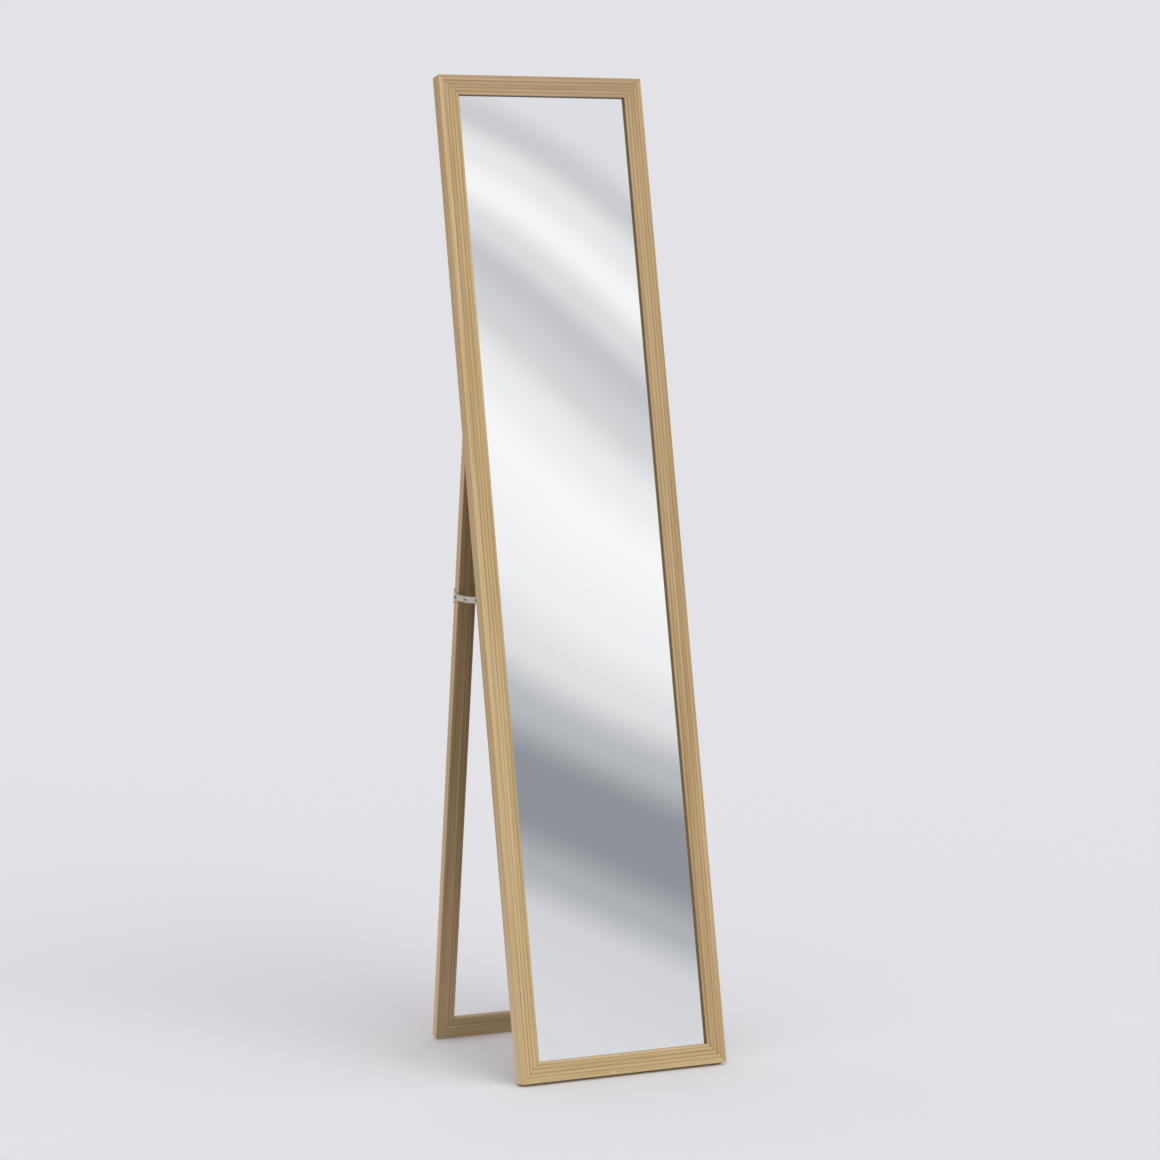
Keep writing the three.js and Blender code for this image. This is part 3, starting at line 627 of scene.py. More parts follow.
def leg_profile(depth):
    """The leg frame's section: a round outer edge that dips to a flat band, a ridge raised by
    1 - (2q - 1)^2, a hump-shaped quirk, a bead lowered by (2q - 1)^2 at its sides, and a
    stepped-down inner edge."""
    bead_end = FACE_WIDTH - LEG_STEP
    bead_start = bead_end - LEG_BEAD
    ridge_end = bead_start - LEG_QUIRK
    band_end = ridge_end - LEG_RIDGE
    edges = [LEG_EDGE_ROUND, 2 * LEG_EDGE_ROUND, band_end, ridge_end, bead_start, bead_end]
    x = between(edges, 8)[1:]
    ridge_share = (x - band_end) / (ridge_end - band_end)
    ridge = np.where((ridge_share > 0) & (ridge_share < 1), 1 - (2 * ridge_share - 1) ** 2, 0)
    bead_share = (x - bead_start) / (bead_end - bead_start)
    bead = np.where(bead_share >= 0, (2 * bead_share - 1) ** 2, 0)
    y = LEG_BAND_DROP * smooth_step(x / LEG_EDGE_ROUND - 1) - LEG_BAND_DROP * ridge
    y = y + np.where(bead_share >= 0, LEG_BAND_DROP * bead, 0)
    quirk = hump((x - (ridge_end + bead_start) / 2) / (LEG_QUIRK / 2))
    y = y + (LEG_QUIRK_DEPTH - LEG_BAND_DROP) * quirk
    turn = quarter(6)
    inner = np.stack([FACE_WIDTH - LEG_INNER_ROUND * (1 - np.sin(turn)),
                      LEG_STEP_DROP + LEG_INNER_ROUND * (1 - np.cos(turn))], 1)
    step = np.array([[bead_end + LEG_STEP_SLOPE, LEG_STEP_DROP]])
    face = np.concatenate([outer_round(LEG_EDGE_ROUND), np.stack([x, y], 1), step, inner])
    inner_side = np.array([[FACE_WIDTH, depth - BACK_EASE]])
    hidden = np.array([[FACE_WIDTH - BACK_EASE, depth], [BACK_EASE, depth]])
    return np.concatenate([face, inner_side]), hidden, np.array([[0.0, depth - BACK_EASE]])


STATIONS = np.array([0, 0.15, 0.35, 0.6, 0.9, 1.3, 1.8, 2.4, 3.2, 4.5, 7, 12, 25, 60]) * MM
MIDDLE_STATIONS = 14


def mitred_moulding(profile, length, corner_round):
    """A length of moulding as (inward, back, along). The profile is carried along the length from
    one mitre to the other, each as far in as the profile is inward; close to an end the outer side
    is drawn in along a quarter circle, so that the frame's corner is round."""
    x = profile[:, 0]
    tip = corner_round * (1 - math.sqrt(0.5))
    start = np.maximum(x, tip) + MITRE_GAP / 2
    from_start = start + STATIONS[:, None]
    from_end = length - start - STATIONS[::-1, None]
    share = np.linspace(0, 1, MIDDLE_STATIONS + 2)[1:-1, None]
    middle = from_start[-1] + (from_end[0] - from_start[-1]) * share
    along = np.concatenate([from_start, middle, from_end])
    from_corner = np.minimum(along, length - along)
    lack = np.clip(corner_round - from_corner, 0, corner_round)
    drawn_in = corner_round - np.sqrt(corner_round ** 2 - lack ** 2)
    inward = np.maximum(np.broadcast_to(x, along.shape), drawn_in)
    back = np.broadcast_to(profile[:, 1], along.shape)
    return np.stack([inward, back, along], -1), from_corner


RECESS_SHADE_LIMIT = 1.7 * MM
OUTER_WEAR = 1.6 * MM
SIGHT_WEAR = 1.2 * MM
OUTER_WEAR_DEPTH = 4 * MM
SIGHT_WEAR_DEPTH = 3.4 * MM
CORNER_WEAR = 7 * MM
GRAIN_SHIFT = np.array([0.31, 0.17, 2.7])


def frame_members(lean, prefix, sections, corner_round, foil, body, worn, painted_light_and_shade):
    """The four mitred members of a frame, each carried along its own side. The tones given are
    painted light and shade: each member's tone, that of the outer side and of each inner wall, and
    a painted shade that darkens the hollows. From the foot up to the given reach the tone changes
    by a smooth step, from a painted floor bounce at the foot to the shaded tone above."""
    half, high = lean["width"] / 2, lean["height"]
    face, hidden = sections[:2]
    profile = np.concatenate(sections)
    columns = len(profile)
    bare = np.zeros(columns, int)
    bare[len(face):len(face) + len(hidden) - 1] = 1
    # Painted shade: groove bottoms are darkened by their depth.
    hollow = np.zeros(columns)
    shallow = face[:, 1] < RECESS_SHADE_LIMIT
    hollow[:len(face)] = painted_light_and_shade["hollow"] * np.clip(face[:, 1] / GROOVE_DEPTH, 0, 1) * shallow
    hollow[:OUTER_STEPS] = 0
    on_side = np.isin(np.arange(columns), (0, 1, columns - 1))[:, None]
    on_wall = slice(len(face) - 1, len(face) + 1)
    # Painted shade: the mirror frame's inner wall under the lip is fully darkened.
    if prefix == "frame_":
        hollow[on_wall] = 1.0
    seats = {
        "left_stile": ([-half, 0, 0], [0, 0, 1], [1, 0, 0], high),
        "top_rail": ([-half, 0, high], [1, 0, 0], [0, 0, -1], 2 * half),
        "right_stile": ([half, 0, high], [0, 0, -1], [-1, 0, 0], high),
        "bottom_rail": ([half, 0, 0], [-1, 0, 0], [0, 0, 1], 2 * half),
    }
    outer = np.exp(-profile[:, 0] / OUTER_WEAR) * (profile[:, 1] < OUTER_WEAR_DEPTH)
    sight = (np.exp(-(FACE_WIDTH - profile[:, 0]) / SIGHT_WEAR)
             * (profile[:, 1] < SIGHT_WEAR_DEPTH))
    for number, member in enumerate(MEMBERS):
        corner, heading, inward, length = (np.asarray(v, float) for v in seats[member])
        shape, from_corner = mitred_moulding(profile, float(length), corner_round)
        local = (corner + shape[..., :1] * inward + shape[..., 1:2] * [0, 1, 0]
                 + shape[..., 2:] * heading)
        rows = len(shape)
        grain = shape + GRAIN_SHIFT * (number + 1)
        wear = worn * (outer + 0.6 * sight) + 0.9 * np.exp(-from_corner / CORNER_WEAR) * outer
        # Painted light and shade: sides, inner walls and each member get their own tone, and the
        # foot gets a painted floor bounce.
        tone = np.where(on_side, painted_light_and_shade["side"], 1.0)
        tone[on_wall] = painted_light_and_shade["wall"][number]
        floor_bounce_tone = np.where(on_side, painted_light_and_shade["side_foot"], painted_light_and_shade["face_foot"])
        shaded_above_tone = np.where(on_side, painted_light_and_shade["side_above"], painted_light_and_shade["face_above"])
        climb = smooth_step(local[..., 2:] / painted_light_and_shade["foot_reach"])
        tone = tone * painted_light_and_shade[member] * (floor_bounce_tone + (shaded_above_tone - floor_bounce_tone) * climb)
        name = prefix + member
        make_piece(name + "_moulding", seated(local.reshape(-1, 3), lean),
                   capped_tube(rows, columns), [foil, bare_board], body, [name],
                   np.append(np.tile(bare, rows - 1), [1, 1]), {
                       "grain": grain.reshape(-1, 3),
                       "hollow": np.tile(hollow, rows),
                       "tone": tone.reshape(-1, 3),
                       "wear": np.clip(wear, 0, 1).ravel()}, sharp=38.0)


# Painted light and shade for each frame: the member, side and inner wall tones, a painted floor
# bounce at the foot fading to shade above, and how dark the hollows are painted.
frame_members(mirror_lean, "frame_", frame_profile(mirror_lean["depth"]), FRAME_CORNER_ROUND,
              oak_foil, "mirror_frame", 0.35, {
                  "left_stile": (0.98, 0.965, 0.98), "top_rail": (0.82, 0.78, 0.84),
                  "right_stile": (0.87, 0.835, 0.865), "bottom_rail": (0.95, 0.94, 0.95),
                  "side": (0.85, 0.80, 0.76), "wall": (1.0, 0.45, 0.75, 1.0),
                  "side_foot": (1.31, 1.43, 1.76), "side_above": (0.99, 0.97, 0.94),
                  "face_foot": (1.0, 1.0, 1.0), "face_above": (1.0, 1.0, 1.0),
                  "foot_reach": 0.56, "hollow": 0.6})
frame_members(leg_lean, "leg_", leg_profile(leg_lean["depth"]), LEG_CORNER_ROUND,
              leg_foil, "leg_frame", 0.4, {
                  "left_stile": (0.84, 0.83, 0.80), "top_rail": (0.84, 0.83, 0.80),
                  "right_stile": (0.84, 0.83, 0.80), "bottom_rail": (0.83, 0.83, 0.80),
                  "side": (1.30, 1.26, 1.24), "wall": (1.0, 1.0, 1.0, 1.0),
                  "side_foot": (1.24, 1.30, 1.38), "side_above": (0.90, 0.88, 0.83),
                  "face_foot": (1.22, 1.23, 1.22), "face_above": (0.90, 0.90, 0.84),
                  "foot_reach": 0.52, "hollow": 0.3})

# ---- Glass and backing board ----

PANE_CORNER = 1.5 * MM


def pane(node, name, ease, finishes, steps):
    """A pane in the rebate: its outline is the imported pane's, and its edges are eased."""
    low, high = reach(node, mirror_lean)
    corners = [[low[ACROSS], low[UP]], [high[ACROSS], low[UP]],
               [high[ACROSS], high[UP]], [low[ACROSS], high[UP]]]
    outline = eased(corners, PANE_CORNER, 4)
    thickness = high[BACK] - low[BACK]
    flat, faces = eased_plate(outline, thickness, ease, steps)
    local = np.stack([flat[:, 0], low[BACK] + flat[:, 2], flat[:, 1]], 1)
    of_face = np.full(len(faces), 1)
    of_face[-2], of_face[-1] = 0, 2
    make_piece(name, seated(local, mirror_lean), faces, finishes, "mirror_frame", [node],
               of_face, sharp=20.0)


pane("mirror_glass", "silvered_pane", 0.5 * MM, [silvered, ground_edge, grey_paint],
     2)
pane("backing_board", "hardboard_back", 0.3 * MM, [pressed_board] * 3, 3)

# ---- Retaining points and V-nails ----

POINT_LIFT = 1.1 * MM
LIFT_START = 0.72
V_NAIL_PROUD = 0.25 * MM
V_NAIL_THICKNESS = 0.6 * MM
V_NAIL_CURL = 0.16
V_NAIL_BEND = 0.28
V_NAIL_STRAIGHT = 0.6

for side_name, side in SIDES:
    for number in (1, 2, 3):
        node = f"{side_name}_point_{number}"
        low, high = reach(node, mirror_lean)
        middle = (low + high) / 2
        long = high[ACROSS] - low[ACROSS]
        run = np.concatenate([[0, 0.3], np.linspace(0.5, 1, 12)])
        rise = POINT_LIFT * np.clip((run - LIFT_START) / (1 - LIFT_START), 0, 1) ** 2
        path = path_of(middle[ACROSS] + side * long * (0.5 - run), middle[BACK] + rise, middle[UP])
        taper = np.clip((run - 0.5) / 0.5, 0, 1)
        half_width = (high[UP] - low[UP]) / 2 * np.sqrt(np.maximum(1 - taper ** 2.6, 0.02))
        points, faces = bent_strip(path, [0, 0, 1], half_width, high[BACK] - low[BACK],
                                   ease=0.1 * MM)
        make_piece(node + "_tab", seated(points, mirror_lean), faces, [nail_steel], "mirror_frame",
                   [node])


def v_nail(node, lean, body):
    """A V-nail: a thin strip stood on edge and bent to a V round the mitre. Its shape is given in
    arm lengths from the V's peak, with each arm's end curled."""
    low, high = reach(node, lean)
    outer = -1 if (low + high)[ACROSS] < 0 else 1
    lower = (low + high)[UP] < lean["height"]
    peak = [low[ACROSS] if outer < 0 else high[ACROSS], low[UP] if lower else high[UP]]
    arm = high[ACROSS] - low[ACROSS]
    inward, upward = -outer, 1 if lower else -1
    shape = np.array([[1, V_NAIL_CURL], [V_NAIL_STRAIGHT, 0], [0, 0], [0, V_NAIL_STRAIGHT],
                      [V_NAIL_CURL, 1]])
    corners = peak + arm * shape * [inward, upward]
    flat = eased(corners, arm * V_NAIL_BEND, 6, closed=False)
    deep = high[BACK] - low[BACK]
    path = path_of(flat[:, 0], high[BACK] + V_NAIL_PROUD - deep / 2, flat[:, 1])
    points, faces = bent_strip(path, [0, 1, 0], deep / 2, V_NAIL_THICKNESS, ease=0.08 * MM)
    make_piece(node + "_strip", seated(points, lean), faces, [nail_steel], body,
               [node])


for place in ("bottom_left", "bottom_right", "top_left", "top_right"):
    v_nail("frame_nail_" + place, mirror_lean, "mirror_frame")
    v_nail("leg_nail_" + place, leg_lean, "leg_frame")

# ---- Screws ----

SCREW_HEAD_RADIUS = 2.5 * MM
SCREW_RADIUS = 1.15 * MM
HEAD_DEPTH = 1.3 * MM
SCREW_DISH = 0.18 * MM
SLOT_HALF = 0.36 * MM
SLOT_REACH = 1.45 * MM
SLOT_DEPTH = 0.75 * MM
SLOT_EDGE = 0.12 * MM
SLOT_END = 0.15 * MM
SLOT_SLOPE = 0.45
THREAD_PITCH = 1.3 * MM
THREAD_HEIGHT = 0.3 * MM
SCREW_NECK = 1.2 * MM
SCREW_POINT = 2.6 * MM


def screw_shape(length, turn_of_slot):
    """A countersunk wood screw, head up. The head's face rises SCREW_DISH towards its middle, less
    the cross recess, which is deep where either arm's distance is under SLOT_HALF. Below the cone
    the radius is the core plus a thread, a hump that climbs one pitch for each turn."""
    angle = np.linspace(0, 2 * math.pi, 48, endpoint=False)
    turns = len(angle)
    ring = np.array([0, 0.15, 0.28, 0.42, 0.62, 0.85, 1.05, 1.25, 1.45, 1.6, 1.9, 2.2, 2.45]) * MM
    x = ring[:, None] * np.cos(angle + turn_of_slot)
    y = ring[:, None] * np.sin(angle + turn_of_slot)
    nearest = np.minimum(np.abs(x), np.abs(y))
    inside = np.clip((SLOT_HALF - nearest) / SLOT_EDGE + 0.5, 0, 1)
    reaching = np.clip((SLOT_REACH - ring[:, None]) / SLOT_END + 0.5, 0, 1)
    sloping = 1 - SLOT_SLOPE * ring[:, None] / SLOT_REACH
    crown = SCREW_DISH * (1 - (ring[:, None] / SCREW_HEAD_RADIUS) ** 2)
    top = crown - SLOT_DEPTH * inside * reaching * sloping
    head = np.stack([np.broadcast_to(ring[:, None], top.shape), top], -1)
    rim = np.array([[SCREW_HEAD_RADIUS, -0.02 * MM], [SCREW_HEAD_RADIUS, -0.12 * MM],
                    [SCREW_RADIUS, -HEAD_DEPTH]])
    rim = np.broadcast_to(rim[:, None], (3, turns, 2))
    level = np.linspace(-HEAD_DEPTH - SCREW_NECK, -length + 0.3 * MM, 44)
    phase = (level[:, None] / THREAD_PITCH - angle / (2 * math.pi)) % 1.0
    fading = np.clip((level + length) / SCREW_POINT, 0.08, 1)[:, None]
    radius = fading * (SCREW_RADIUS - THREAD_HEIGHT
                       + THREAD_HEIGHT * hump((phase - 0.5) * 3.2))
    thread = np.stack([radius, np.broadcast_to(level[:, None], radius.shape)], -1)
    point = np.broadcast_to(np.array([[0.0, -length]])[:, None], (1, turns, 2))
    sheet = np.concatenate([head, rim, thread, point])
    points = np.stack([sheet[..., 0] * np.cos(angle), sheet[..., 0] * np.sin(angle),
                       sheet[..., 1]], -1)
    # Painted shade: the cross recess is marked to be darkened.
    hollow = np.zeros(sheet.shape[:2])
    hollow[:len(head)] = inside * reaching
    return points.reshape(-1, 3), strip_faces(len(sheet), turns).tolist(), hollow.ravel()


def screw(node, lean, body, number):
    """A screw in a packed screw's place, driven along its longest way, its recess turned by the
    number it is given."""
    low, high = reach(node, lean)
    size = high - low
    axis = int(np.argmax(size))
    origin = (low + high) / 2
    origin[axis] = high[axis]
    points, faces, hollow = screw_shape(size[axis], 0.7 + 1.13 * number)
    make_piece(node + "_cross_head", seated(stood(points, origin, axis), lean), faces,
               [pin_steel], body, [node], marks={"hollow": hollow}, sharp=48.0)


for number, (side_name, side) in enumerate(SIDES):
    for order in (1, 2):
        for kind, lean, body, turn in (
                ("hinge_frame", mirror_lean, "mirror_frame", 7 * number + order),
                ("frame_bracket", mirror_lean, "mirror_frame", 5 * number + 2 * order),
                ("hinge_leg", leg_lean, "leg_frame", 3 * number + 4 * order),
                ("leg_bracket", leg_lean, "leg_frame", 11 * number + order)):
            screw(f"{side_name}_{kind}_screw_{order}", lean, body, turn)

# ---- Hinges ----

METAL = 1.0 * MM
KNUCKLE_RADIUS = 2.3 * MM
KNUCKLE_GAP = 0.3 * MM
PIN_RADIUS = 1.2 * MM
LEAF_CORNER = 2.0 * MM
CURL_TURN = math.radians(302)
KNUCKLE_LEAD = 0.6 * MM
PIN_HEAD_RADIUS = 1.25 * PIN_RADIUS


def hinge_leaf(length, width, own_knuckles, notches):
    """A leaf as (along the pin, off the frame, away from the pin). The flat is a plate whose hinge
    edge is notched for the other leaf's knuckles, to its ends where the outer knuckles are the
    other's. Each knuckle is a strip that carries on from the plate round the pin on a circle of
    the knuckle's middle radius."""
    half = length / 2
    notch = math.sqrt((KNUCKLE_RADIUS + KNUCKLE_GAP) ** 2 - (KNUCKLE_RADIUS - METAL) ** 2)
    hinge_edge = [[-half, 0.0]]
    for start, end in notches:
        hinge_edge += [[start, 0.0], [start, notch], [end, notch], [end, 0.0]]
    hinge_edge += [[half, 0.0]]
    if notches[0][0] <= -half:
        hinge_edge = hinge_edge[2:-2]
    corners = np.array(hinge_edge + [[half, width], [-half, width]])
    free = corners[:, 1] > width - 1e-6
    outline = eased(corners, np.where(free, LEAF_CORNER, 0.25 * MM), 6)
    flat, faces = eased_plate(outline, METAL, 0.15 * MM)
    plate = np.stack([flat[:, 0], flat[:, 2] - KNUCKLE_RADIUS, flat[:, 1]], 1)
    shells = [(plate, faces)]
    middle_radius = KNUCKLE_RADIUS - METAL / 2
    turn = np.linspace(0, CURL_TURN, 40)
    for start, end in own_knuckles:
        path = path_of((start + end) / 2, np.append(-middle_radius, -middle_radius * np.cos(turn)),
                       np.append(KNUCKLE_LEAD, -middle_radius * np.sin(turn)))
        shells.append(bent_strip(path, [1, 0, 0], (end - start) / 2, METAL, ease=0.12 * MM))
    return together(*shells)


hinge_place = np.array(joints["leg_fold"]["pos_m"], float)
on_mirror = measured(hinge_place, mirror_lean)
on_leg = measured(hinge_place, leg_lean)
for side_name, side in SIDES:
    leaf_low, leaf_high = reach(f"{side_name}_hinge_frame_leaf", mirror_lean)
    middle = (leaf_low + leaf_high)[ACROSS] / 2
    length = leaf_high[ACROSS] - leaf_low[ACROSS]
    leaf_width = leaf_high[UP] - on_mirror[UP]
    edge = length / 6
    end = length / 2
    outer = [(-end, -edge), (edge, end)]
    inner = [(-edge + KNUCKLE_GAP, edge - KNUCKLE_GAP)]
    points, faces = hinge_leaf(length, leaf_width, outer, [(-edge, edge)])
    local = points + [middle, on_mirror[BACK], on_mirror[UP]]
    make_piece(f"{side_name}_hinge_upper_leaf", seated(local, mirror_lean), faces, [zinc],
               "mirror_frame", [f"{side_name}_hinge_frame_leaf"])
    points, faces = hinge_leaf(length, leaf_width, inner, [
        (-end, -edge + KNUCKLE_GAP), (edge - KNUCKLE_GAP, end)])
    local = np.stack([middle - points[:, 0], on_leg[BACK] + points[:, 2],
                      on_leg[UP] + points[:, 1]], 1)
    make_piece(f"{side_name}_hinge_lower_leaf", seated(local, leg_lean), faces, [zinc],
               "leg_frame", [f"{side_name}_hinge_leg_leaf"])
    head = dome(PIN_HEAD_RADIUS, 0.35 * MM, end + 0.3 * MM)
    shank = np.array([[PIN_HEAD_RADIUS, end + 0.08 * MM], [PIN_RADIUS, end]])
    profile = np.concatenate([head[::-1], shank, shank[::-1] * [1, -1], head * [1, -1]])
    points, faces = turned(profile)
    local = stood(points, [middle, on_mirror[BACK], on_mirror[UP]], ACROSS)
    make_piece(f"{side_name}_hinge_pin_turned", seated(local, mirror_lean), faces, [pin_steel],
               "mirror_frame", [f"{side_name}_hinge_pin"])

# ---- Folding stays ----

LINK_HALF_WIDTH = 4.9 * MM
LINK_THICKNESS = 1.2 * MM
RIVET_RADIUS = 1.5 * MM
RIVET_HEAD_RADIUS = 2.5 * MM
DOMED_HEAD = 0.9 * MM
FLAT_HEAD = 0.6 * MM
HOLE_RADIUS = 1.1 * MM
HOLE_DEPTH = 0.5 * MM
EAR_BASE = 20 * MM
FLANGE_BEND = 1.1 * MM
FLANGE_CORNER = 2.0 * MM
STOP_REACH = 7 * MM
STOP_LENGTH = 4 * MM
TAB_BEND = 1.3 * MM
BOSS = 0.35 * MM


def link_bar(across, length):
    """A bar with round ends between two eyes, drawn along the second axis: its half width is
    sqrt(r^2 - s^2) at s beyond an eye and the full radius between them."""
    turn = np.linspace(0.06, math.pi / 2, 16)
    start = -LINK_HALF_WIDTH * np.cos(turn)
    station = np.concatenate([start, length - start[::-1]])
    width = LINK_HALF_WIDTH * np.concatenate([np.sin(turn), np.sin(turn[::-1])])
    return bent_strip(path_of(across, station, 0.0), [0, 0, 1], width, LINK_THICKNESS,
                      ease=0.25 * MM)


def bracket(side, ear_out, pivot, flange_in, flange_high, flange_face):
    """An angle bracket as (across, back, up). One strip runs over the flange, round the bend and
    out along the ear; its half width steps in from the flange to the ear and then follows the
    line that narrows to the round eye about the pivot."""
    behind = 1 if pivot[0] > flange_face else -1
    layer = side * (ear_out - METAL / 2)
    flange_middle = flange_face + METAL / 2
    flat_run = abs(side * flange_in - layer)
    flange = np.array([0, 0.25, 0.6, 1.0, 1.5, 2.0, 3.0, 5.0, 8.0]) * MM
    flange = np.append(flange[flange < flat_run - FLANGE_BEND], flat_run - FLANGE_BEND)
    lack = np.clip(FLANGE_CORNER - flange, 0, FLANGE_CORNER)
    high = flange_high / 2 - (FLANGE_CORNER - np.sqrt(FLANGE_CORNER ** 2 - lack ** 2))
    bend = eased([[side * flange_in, flange_middle], [layer, flange_middle], [layer, pivot[0]]],
                 FLANGE_BEND, 8, closed=False)[2:-1]
    ear_length = abs(pivot[0] - bend[-1, 1])
    eye_turn = np.linspace(math.pi / 2, 0.08, 14)
    to_eye = np.linspace(0, ear_length, 8)[1:-1]
    slope = (EAR_BASE / 2 - LINK_HALF_WIDTH) / ear_length
    ear = np.concatenate([to_eye, ear_length + LINK_HALF_WIDTH * np.cos(eye_turn)])
    ear_high = np.concatenate([EAR_BASE / 2 - slope * to_eye, LINK_HALF_WIDTH * np.sin(eye_turn)])
    path = np.concatenate([
        path_of(side * (flange_in + flange), flange_middle, pivot[1]),
        path_of(bend[:, 0], bend[:, 1], pivot[1]),
        path_of(layer, bend[-1, 1] + behind * ear, pivot[1])])
    bend_high = high[-1] + (EAR_BASE / 2 - high[-1]) * smooth_step(np.linspace(0, 1, 8)[1:])
    half_width = np.concatenate([high, bend_high, ear_high])
    return bent_strip(path, [0, 0, 1], half_width, METAL, ease=0.18 * MM)


def rivet(shank, heads):
    """A rivet along the height axis. Heads are (from, to, domed); a domed one has the
    semi-tubular rivet's hole in its crown."""
    parts = []
    for start, end, domed in heads:
        rise = (end - start) * (0.75 if domed else 0.25)
        foot = end - rise
        crown = dome(RIVET_HEAD_RADIUS - (0 if domed else 0.05 * MM), rise, foot)[::-1]
        if domed:
            rim = np.interp(HOLE_RADIUS, crown[:, 0], crown[:, 1])
            hole = [[0, rim - HOLE_DEPTH], [0.94 * HOLE_RADIUS, rim - HOLE_DEPTH],
                    [0.98 * HOLE_RADIUS, rim - 0.1 * MM], [1.12 * HOLE_RADIUS, rim]]
            crown = np.concatenate([hole, crown[crown[:, 0] > 1.15 * HOLE_RADIUS]])
        profile = np.concatenate([crown, [[RIVET_HEAD_RADIUS, start], [0, start]]])
        parts.append(turned(profile))
    body = turned([[0, shank[1]], [RIVET_RADIUS, shank[1]], [RIVET_RADIUS, shank[0]],
                   [RIVET_RADIUS - 0.2 * MM, shank[0]], [0, shank[0]]])
    return together(body, *parts)


def aimed(points, start, towards):
    """Points drawn about the origin along the second axis, turned about the first to point from
    one pivot at another in (Y, Z), and put at the first."""
    heading = np.asarray(towards, float) - start
    heading = heading / np.linalg.norm(heading)
    y = start[0] + points[:, 1] * heading[0] - points[:, 2] * heading[1]
    z = start[1] + points[:, 1] * heading[1] + points[:, 2] * heading[0]
    return np.stack([points[:, 0], y, z], 1)


for side_name, side in SIDES:
    leg_pivot = np.array(joints[f"{side_name}_rear_link_fold"]["pos_m"], float)
    frame_pivot = np.array(joints[f"{side_name}_front_link_fold"]["pos_m"], float)
    rivet_low, rivet_high = (np.array(corner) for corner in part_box(f"{side_name}_middle_rivet"))
    middle_pivot = (rivet_low + rivet_high)[1:] / 2
    rear_layer, front_layer = abs(leg_pivot[0]), abs(frame_pivot[0])

    for name, lean, body, place in (
            (f"{side_name}_frame_bracket", mirror_lean, "mirror_frame", frame_pivot),
            (f"{side_name}_leg_bracket", leg_lean, "leg_frame", leg_pivot)):
        low, high = reach(name, lean)
        flange_in, ear_out = sorted((abs(low[ACROSS]), abs(high[ACROSS])))
        flange_face = low[BACK] if lean is mirror_lean else high[BACK] - METAL
        points, faces = bracket(side, ear_out, measured(place, lean)[1:], flange_in,
                                high[UP] - low[UP], flange_face)
        make_piece(name + "_plate", seated(points, lean), faces, [zinc], body, [name])

    rear_length = np.linalg.norm(middle_pivot - leg_pivot[1:])
    bar = link_bar(side * rear_layer, rear_length + STOP_REACH)
    link_places = corners_of(f"{side_name}_rear_link")[:, 1:] - leg_pivot[1:]
    heading = (middle_pivot - leg_pivot[1:]) / rear_length
    stop_at = rear_length + STOP_REACH + STOP_LENGTH / 2
    tab_middle = (link_places @ [-heading[1], heading[0]]).min() + METAL / 2
    bend = eased([[rear_layer, -1.0 * MM], [rear_layer, tab_middle],
                  [front_layer + LINK_THICKNESS / 2, tab_middle]], TAB_BEND, 8, closed=False)
    path = path_of(side * bend[:, 0], stop_at, bend[:, 1])
    tab = bent_strip(path, [0, 1, 0], STOP_LENGTH / 2, METAL)
    half_boss = LINK_THICKNESS / 2 + BOSS
    boss = turned([[0, half_boss], [RIVET_HEAD_RADIUS - 0.15 * MM, half_boss],
                   [RIVET_HEAD_RADIUS, half_boss - 0.1 * MM],
                   [RIVET_HEAD_RADIUS, -half_boss], [0, -half_boss]])
    boss = (stood(boss[0], [side * rear_layer, rear_length, 0], ACROSS), boss[1])
    front_length = np.linalg.norm(middle_pivot - frame_pivot[1:])
    for name, shell, start in (
            (f"{side_name}_rear_link", together(bar, tab, boss), leg_pivot),
            (f"{side_name}_front_link", link_bar(side * front_layer, front_length), frame_pivot)):
        make_piece(name + "_bar", aimed(shell[0], start[1:], middle_pivot), shell[1], [zinc], name,
                   [name])

    for node, body, centre in (
            ("frame_rivet", "mirror_frame", frame_pivot[1:]),
            ("leg_rivet", "leg_frame", leg_pivot[1:]),
            ("middle_rivet", f"{side_name}_front_link", middle_pivot)):
        name = f"{side_name}_{node}"
        low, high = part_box(name)
        inside, outside = sorted((abs(low[0]), abs(high[0])))
        if node == "leg_rivet":
            heads = [(outside - FLAT_HEAD, outside, False)]
        else:
            heads = [(outside - DOMED_HEAD, outside, True)]
        if node == "middle_rivet":
            heads += [(inside, inside + BOSS, False)]
        points, faces = rivet((inside, outside - HOLE_DEPTH - 0.3 * MM), heads)
        # Painted shade: the rivet's hole is marked to be darkened.
        in_hole = np.hypot(points[:, 0], points[:, 1]) < HOLE_RADIUS
        make_piece(name + "_turned", stood(points, [0, *centre], ACROSS, side), faces, [pin_steel],
                   body, [name], marks={"hollow": in_hole})

# ---- Floor, studio card and light ----

SKY = colour(227, 226, 231)
SUN_STRENGTH = 0.7
SUN_DROP = 0.62
SUN_WIDTH = 45
floor_light = np.array(SKY[:3]) + SUN_STRENGTH * SUN_DROP / math.pi
floor_shade = (*(np.array(SKY[:3]) / floor_light).tolist(), 1.0)

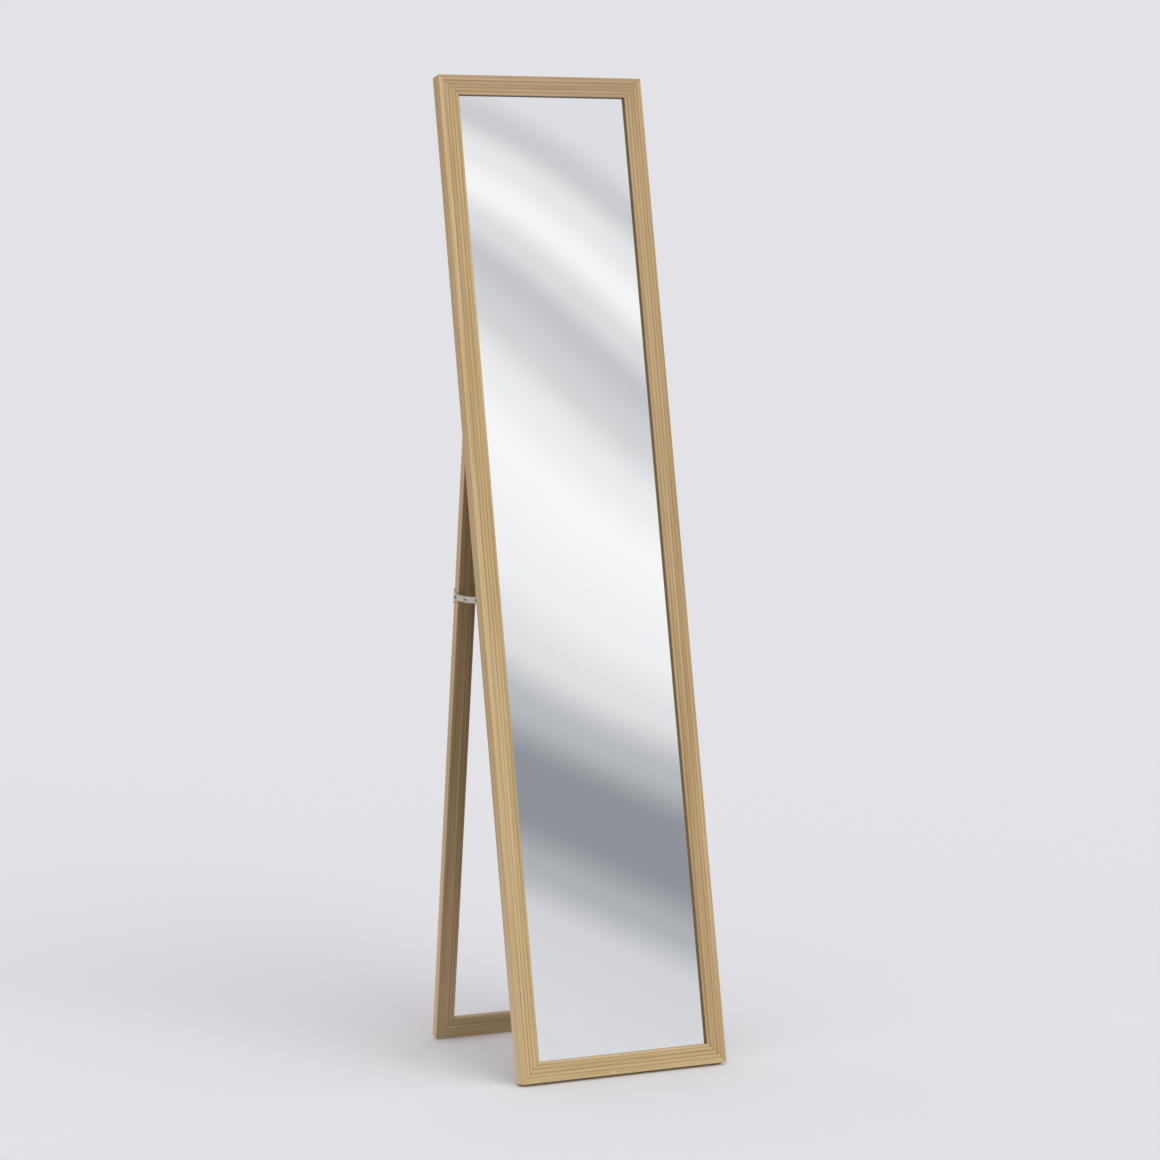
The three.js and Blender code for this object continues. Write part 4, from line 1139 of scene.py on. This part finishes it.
# The floor is a disc of rings and spokes that fades into the sky FADE_START from its middle.
FADE_START = 2.5
FADE_LENGTH = 6.0
matt = Finish("pale_floor")
speckle = matt.noise(matt.place(), 55.0, 3.0, 0.6)
board = matt.add("ShaderNodeBsdfDiffuse", {
    "Color": floor_shade, "Normal": matt.bumped(speckle, 0.05, 0.001)})
pale_floor = matt.shown(matt.add("ShaderNodeMixShader", {
    0: matt.attribute("fade"), 1: board, 2: matt.add("ShaderNodeBsdfTransparent", {})}))
rings = np.array([0.0, 0.6, 1.2, 2.0, 3.0, 4.5, 6.5, 9.0])
spokes = np.linspace(0, 2 * math.pi, 64, endpoint=False)
floor_points = np.stack([rings[:, None] * np.cos(spokes), rings[:, None] * np.sin(spokes),
                         np.zeros((len(rings), len(spokes)))], -1).reshape(-1, 3)
far_off = np.clip((np.repeat(rings, len(spokes)) - FADE_START) / FADE_LENGTH, 0, 1)
upward = strip_faces(len(rings), len(spokes))[:, ::-1]
floor_mesh = sheet_of("studio_floor", floor_points, upward, [pale_floor], {"fade": far_off})
merged(floor_mesh)
floor = placed("studio_floor", floor_mesh)

# The card is an upright round wall that only reflections see. Its bands go by height, leaning by
# CARD_LEAN degrees up the card, and each slopes by slope * soft * tanh(aside / soft) to the sides.
CARD_RADIUS = 3.0
CARD_FORWARD = 0.03
CARD_FOOT = 0.02
CARD_TOP = 4.4
CARD_LOW = 0.40
CARD_SPAN = 2.42
CARD_FACING = 24.4
CARD_LEAN = 3.9
CARD_SLOPE = 0.014
CARD_STEEPER = 0.0125
STEEPEST = 0.70
STEEP_SPREAD = 0.45
CARD_SOFT = 24.0
facing = np.linspace(-180, 180, 145)
level = np.linspace(CARD_FOOT, CARD_TOP, 60)
around, height = np.meshgrid(facing, level)
share = (height - CARD_LOW) / CARD_SPAN
aside = around - CARD_FACING - CARD_LEAN * share
slope = CARD_SLOPE + CARD_STEEPER * hump((share - STEEPEST) / STEEP_SPREAD)
band = share + slope * CARD_SOFT * np.tanh(aside / CARD_SOFT)
turn = np.radians(around)
card_points = np.stack([CARD_RADIUS * np.sin(turn), -CARD_RADIUS * np.cos(turn) - CARD_FORWARD,
                        height], -1).reshape(-1, 3)
CARD_BANDS = (
    (0.00, (215, 217, 220)), (0.10, (209, 211, 214)), (0.15, (174, 177, 182)),
    (0.205, (142, 145, 152)), (0.255, (143, 146, 153)), (0.31, (182, 185, 189)),
    (0.37, (223, 224, 226)), (0.44, (238, 239, 240)), (0.555, (246, 246, 246)),
    (0.62, (236, 237, 237)), (0.70, (208, 209, 212)), (0.755, (197, 198, 203)),
    (0.80, (219, 220, 222)), (0.85, (245, 245, 245)), (0.895, (230, 231, 232)),
    (0.94, (201, 203, 207)), (0.985, (221, 222, 225)),
)
glow = Finish("banded_card")
shade = glow.ramp(glow.attribute("band"), [(place, colour(*tone)) for place, tone in CARD_BANDS],
                  "EASE")
banded_card = glow.shown(glow.add("ShaderNodeEmission", {"Color": shade, "Strength": 1.07}))
banded_card.cycles.emission_sampling = "NONE"
card = placed("studio_card", sheet_of(
    "studio_card", card_points, strip_faces(len(level), len(facing), closed=False),
    [banded_card], {"band": band.ravel()}))
for ray in ("camera", "diffuse", "shadow", "transmission", "volume_scatter"):
    setattr(card, "visible_" + ray, False)
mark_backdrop(floor, card)

world = bpy.data.worlds.new("studio")
bpy.context.scene.world = world
world.use_nodes = True
backdrop = next(n for n in world.node_tree.nodes if n.type == "BACKGROUND")
backdrop.inputs["Color"].default_value = SKY
backdrop.inputs["Strength"].default_value = 1.0


def sun(name, strength, soft, towards):
    """A soft sun that shines the way `towards` points."""
    lamp = bpy.data.lights.new(name, "SUN")
    lamp.energy = strength
    lamp.angle = math.radians(soft)
    made = placed(name, lamp)
    flat = math.hypot(towards[0], towards[1])
    heading = math.atan2(towards[0], -towards[1]) + math.pi
    made.rotation_euler = (math.atan2(flat, -towards[2]), 0, heading)
    made.visible_glossy = False


sun("key_light", SUN_STRENGTH, SUN_WIDTH, (-0.25, 0.74, -SUN_DROP))

# ---- Camera ----

CAMERA_PLACE = (-2.29203, -4.84409, 1.26145)
CAMERA_HEADING = 0.4435
CAMERA_DIP = 0.096
CAMERA_LENS = 107.56
lens = bpy.data.cameras.new("camera")
lens.lens = CAMERA_LENS
lens.sensor_width = 36.0
lens.clip_end = 60.0
camera = placed("camera", lens)
camera.location = CAMERA_PLACE
camera.rotation_euler = (math.pi / 2 - CAMERA_DIP, 0, -CAMERA_HEADING)
bpy.context.scene.camera = camera
bpy.context.scene.view_settings.view_transform = "Standard"

low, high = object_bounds()
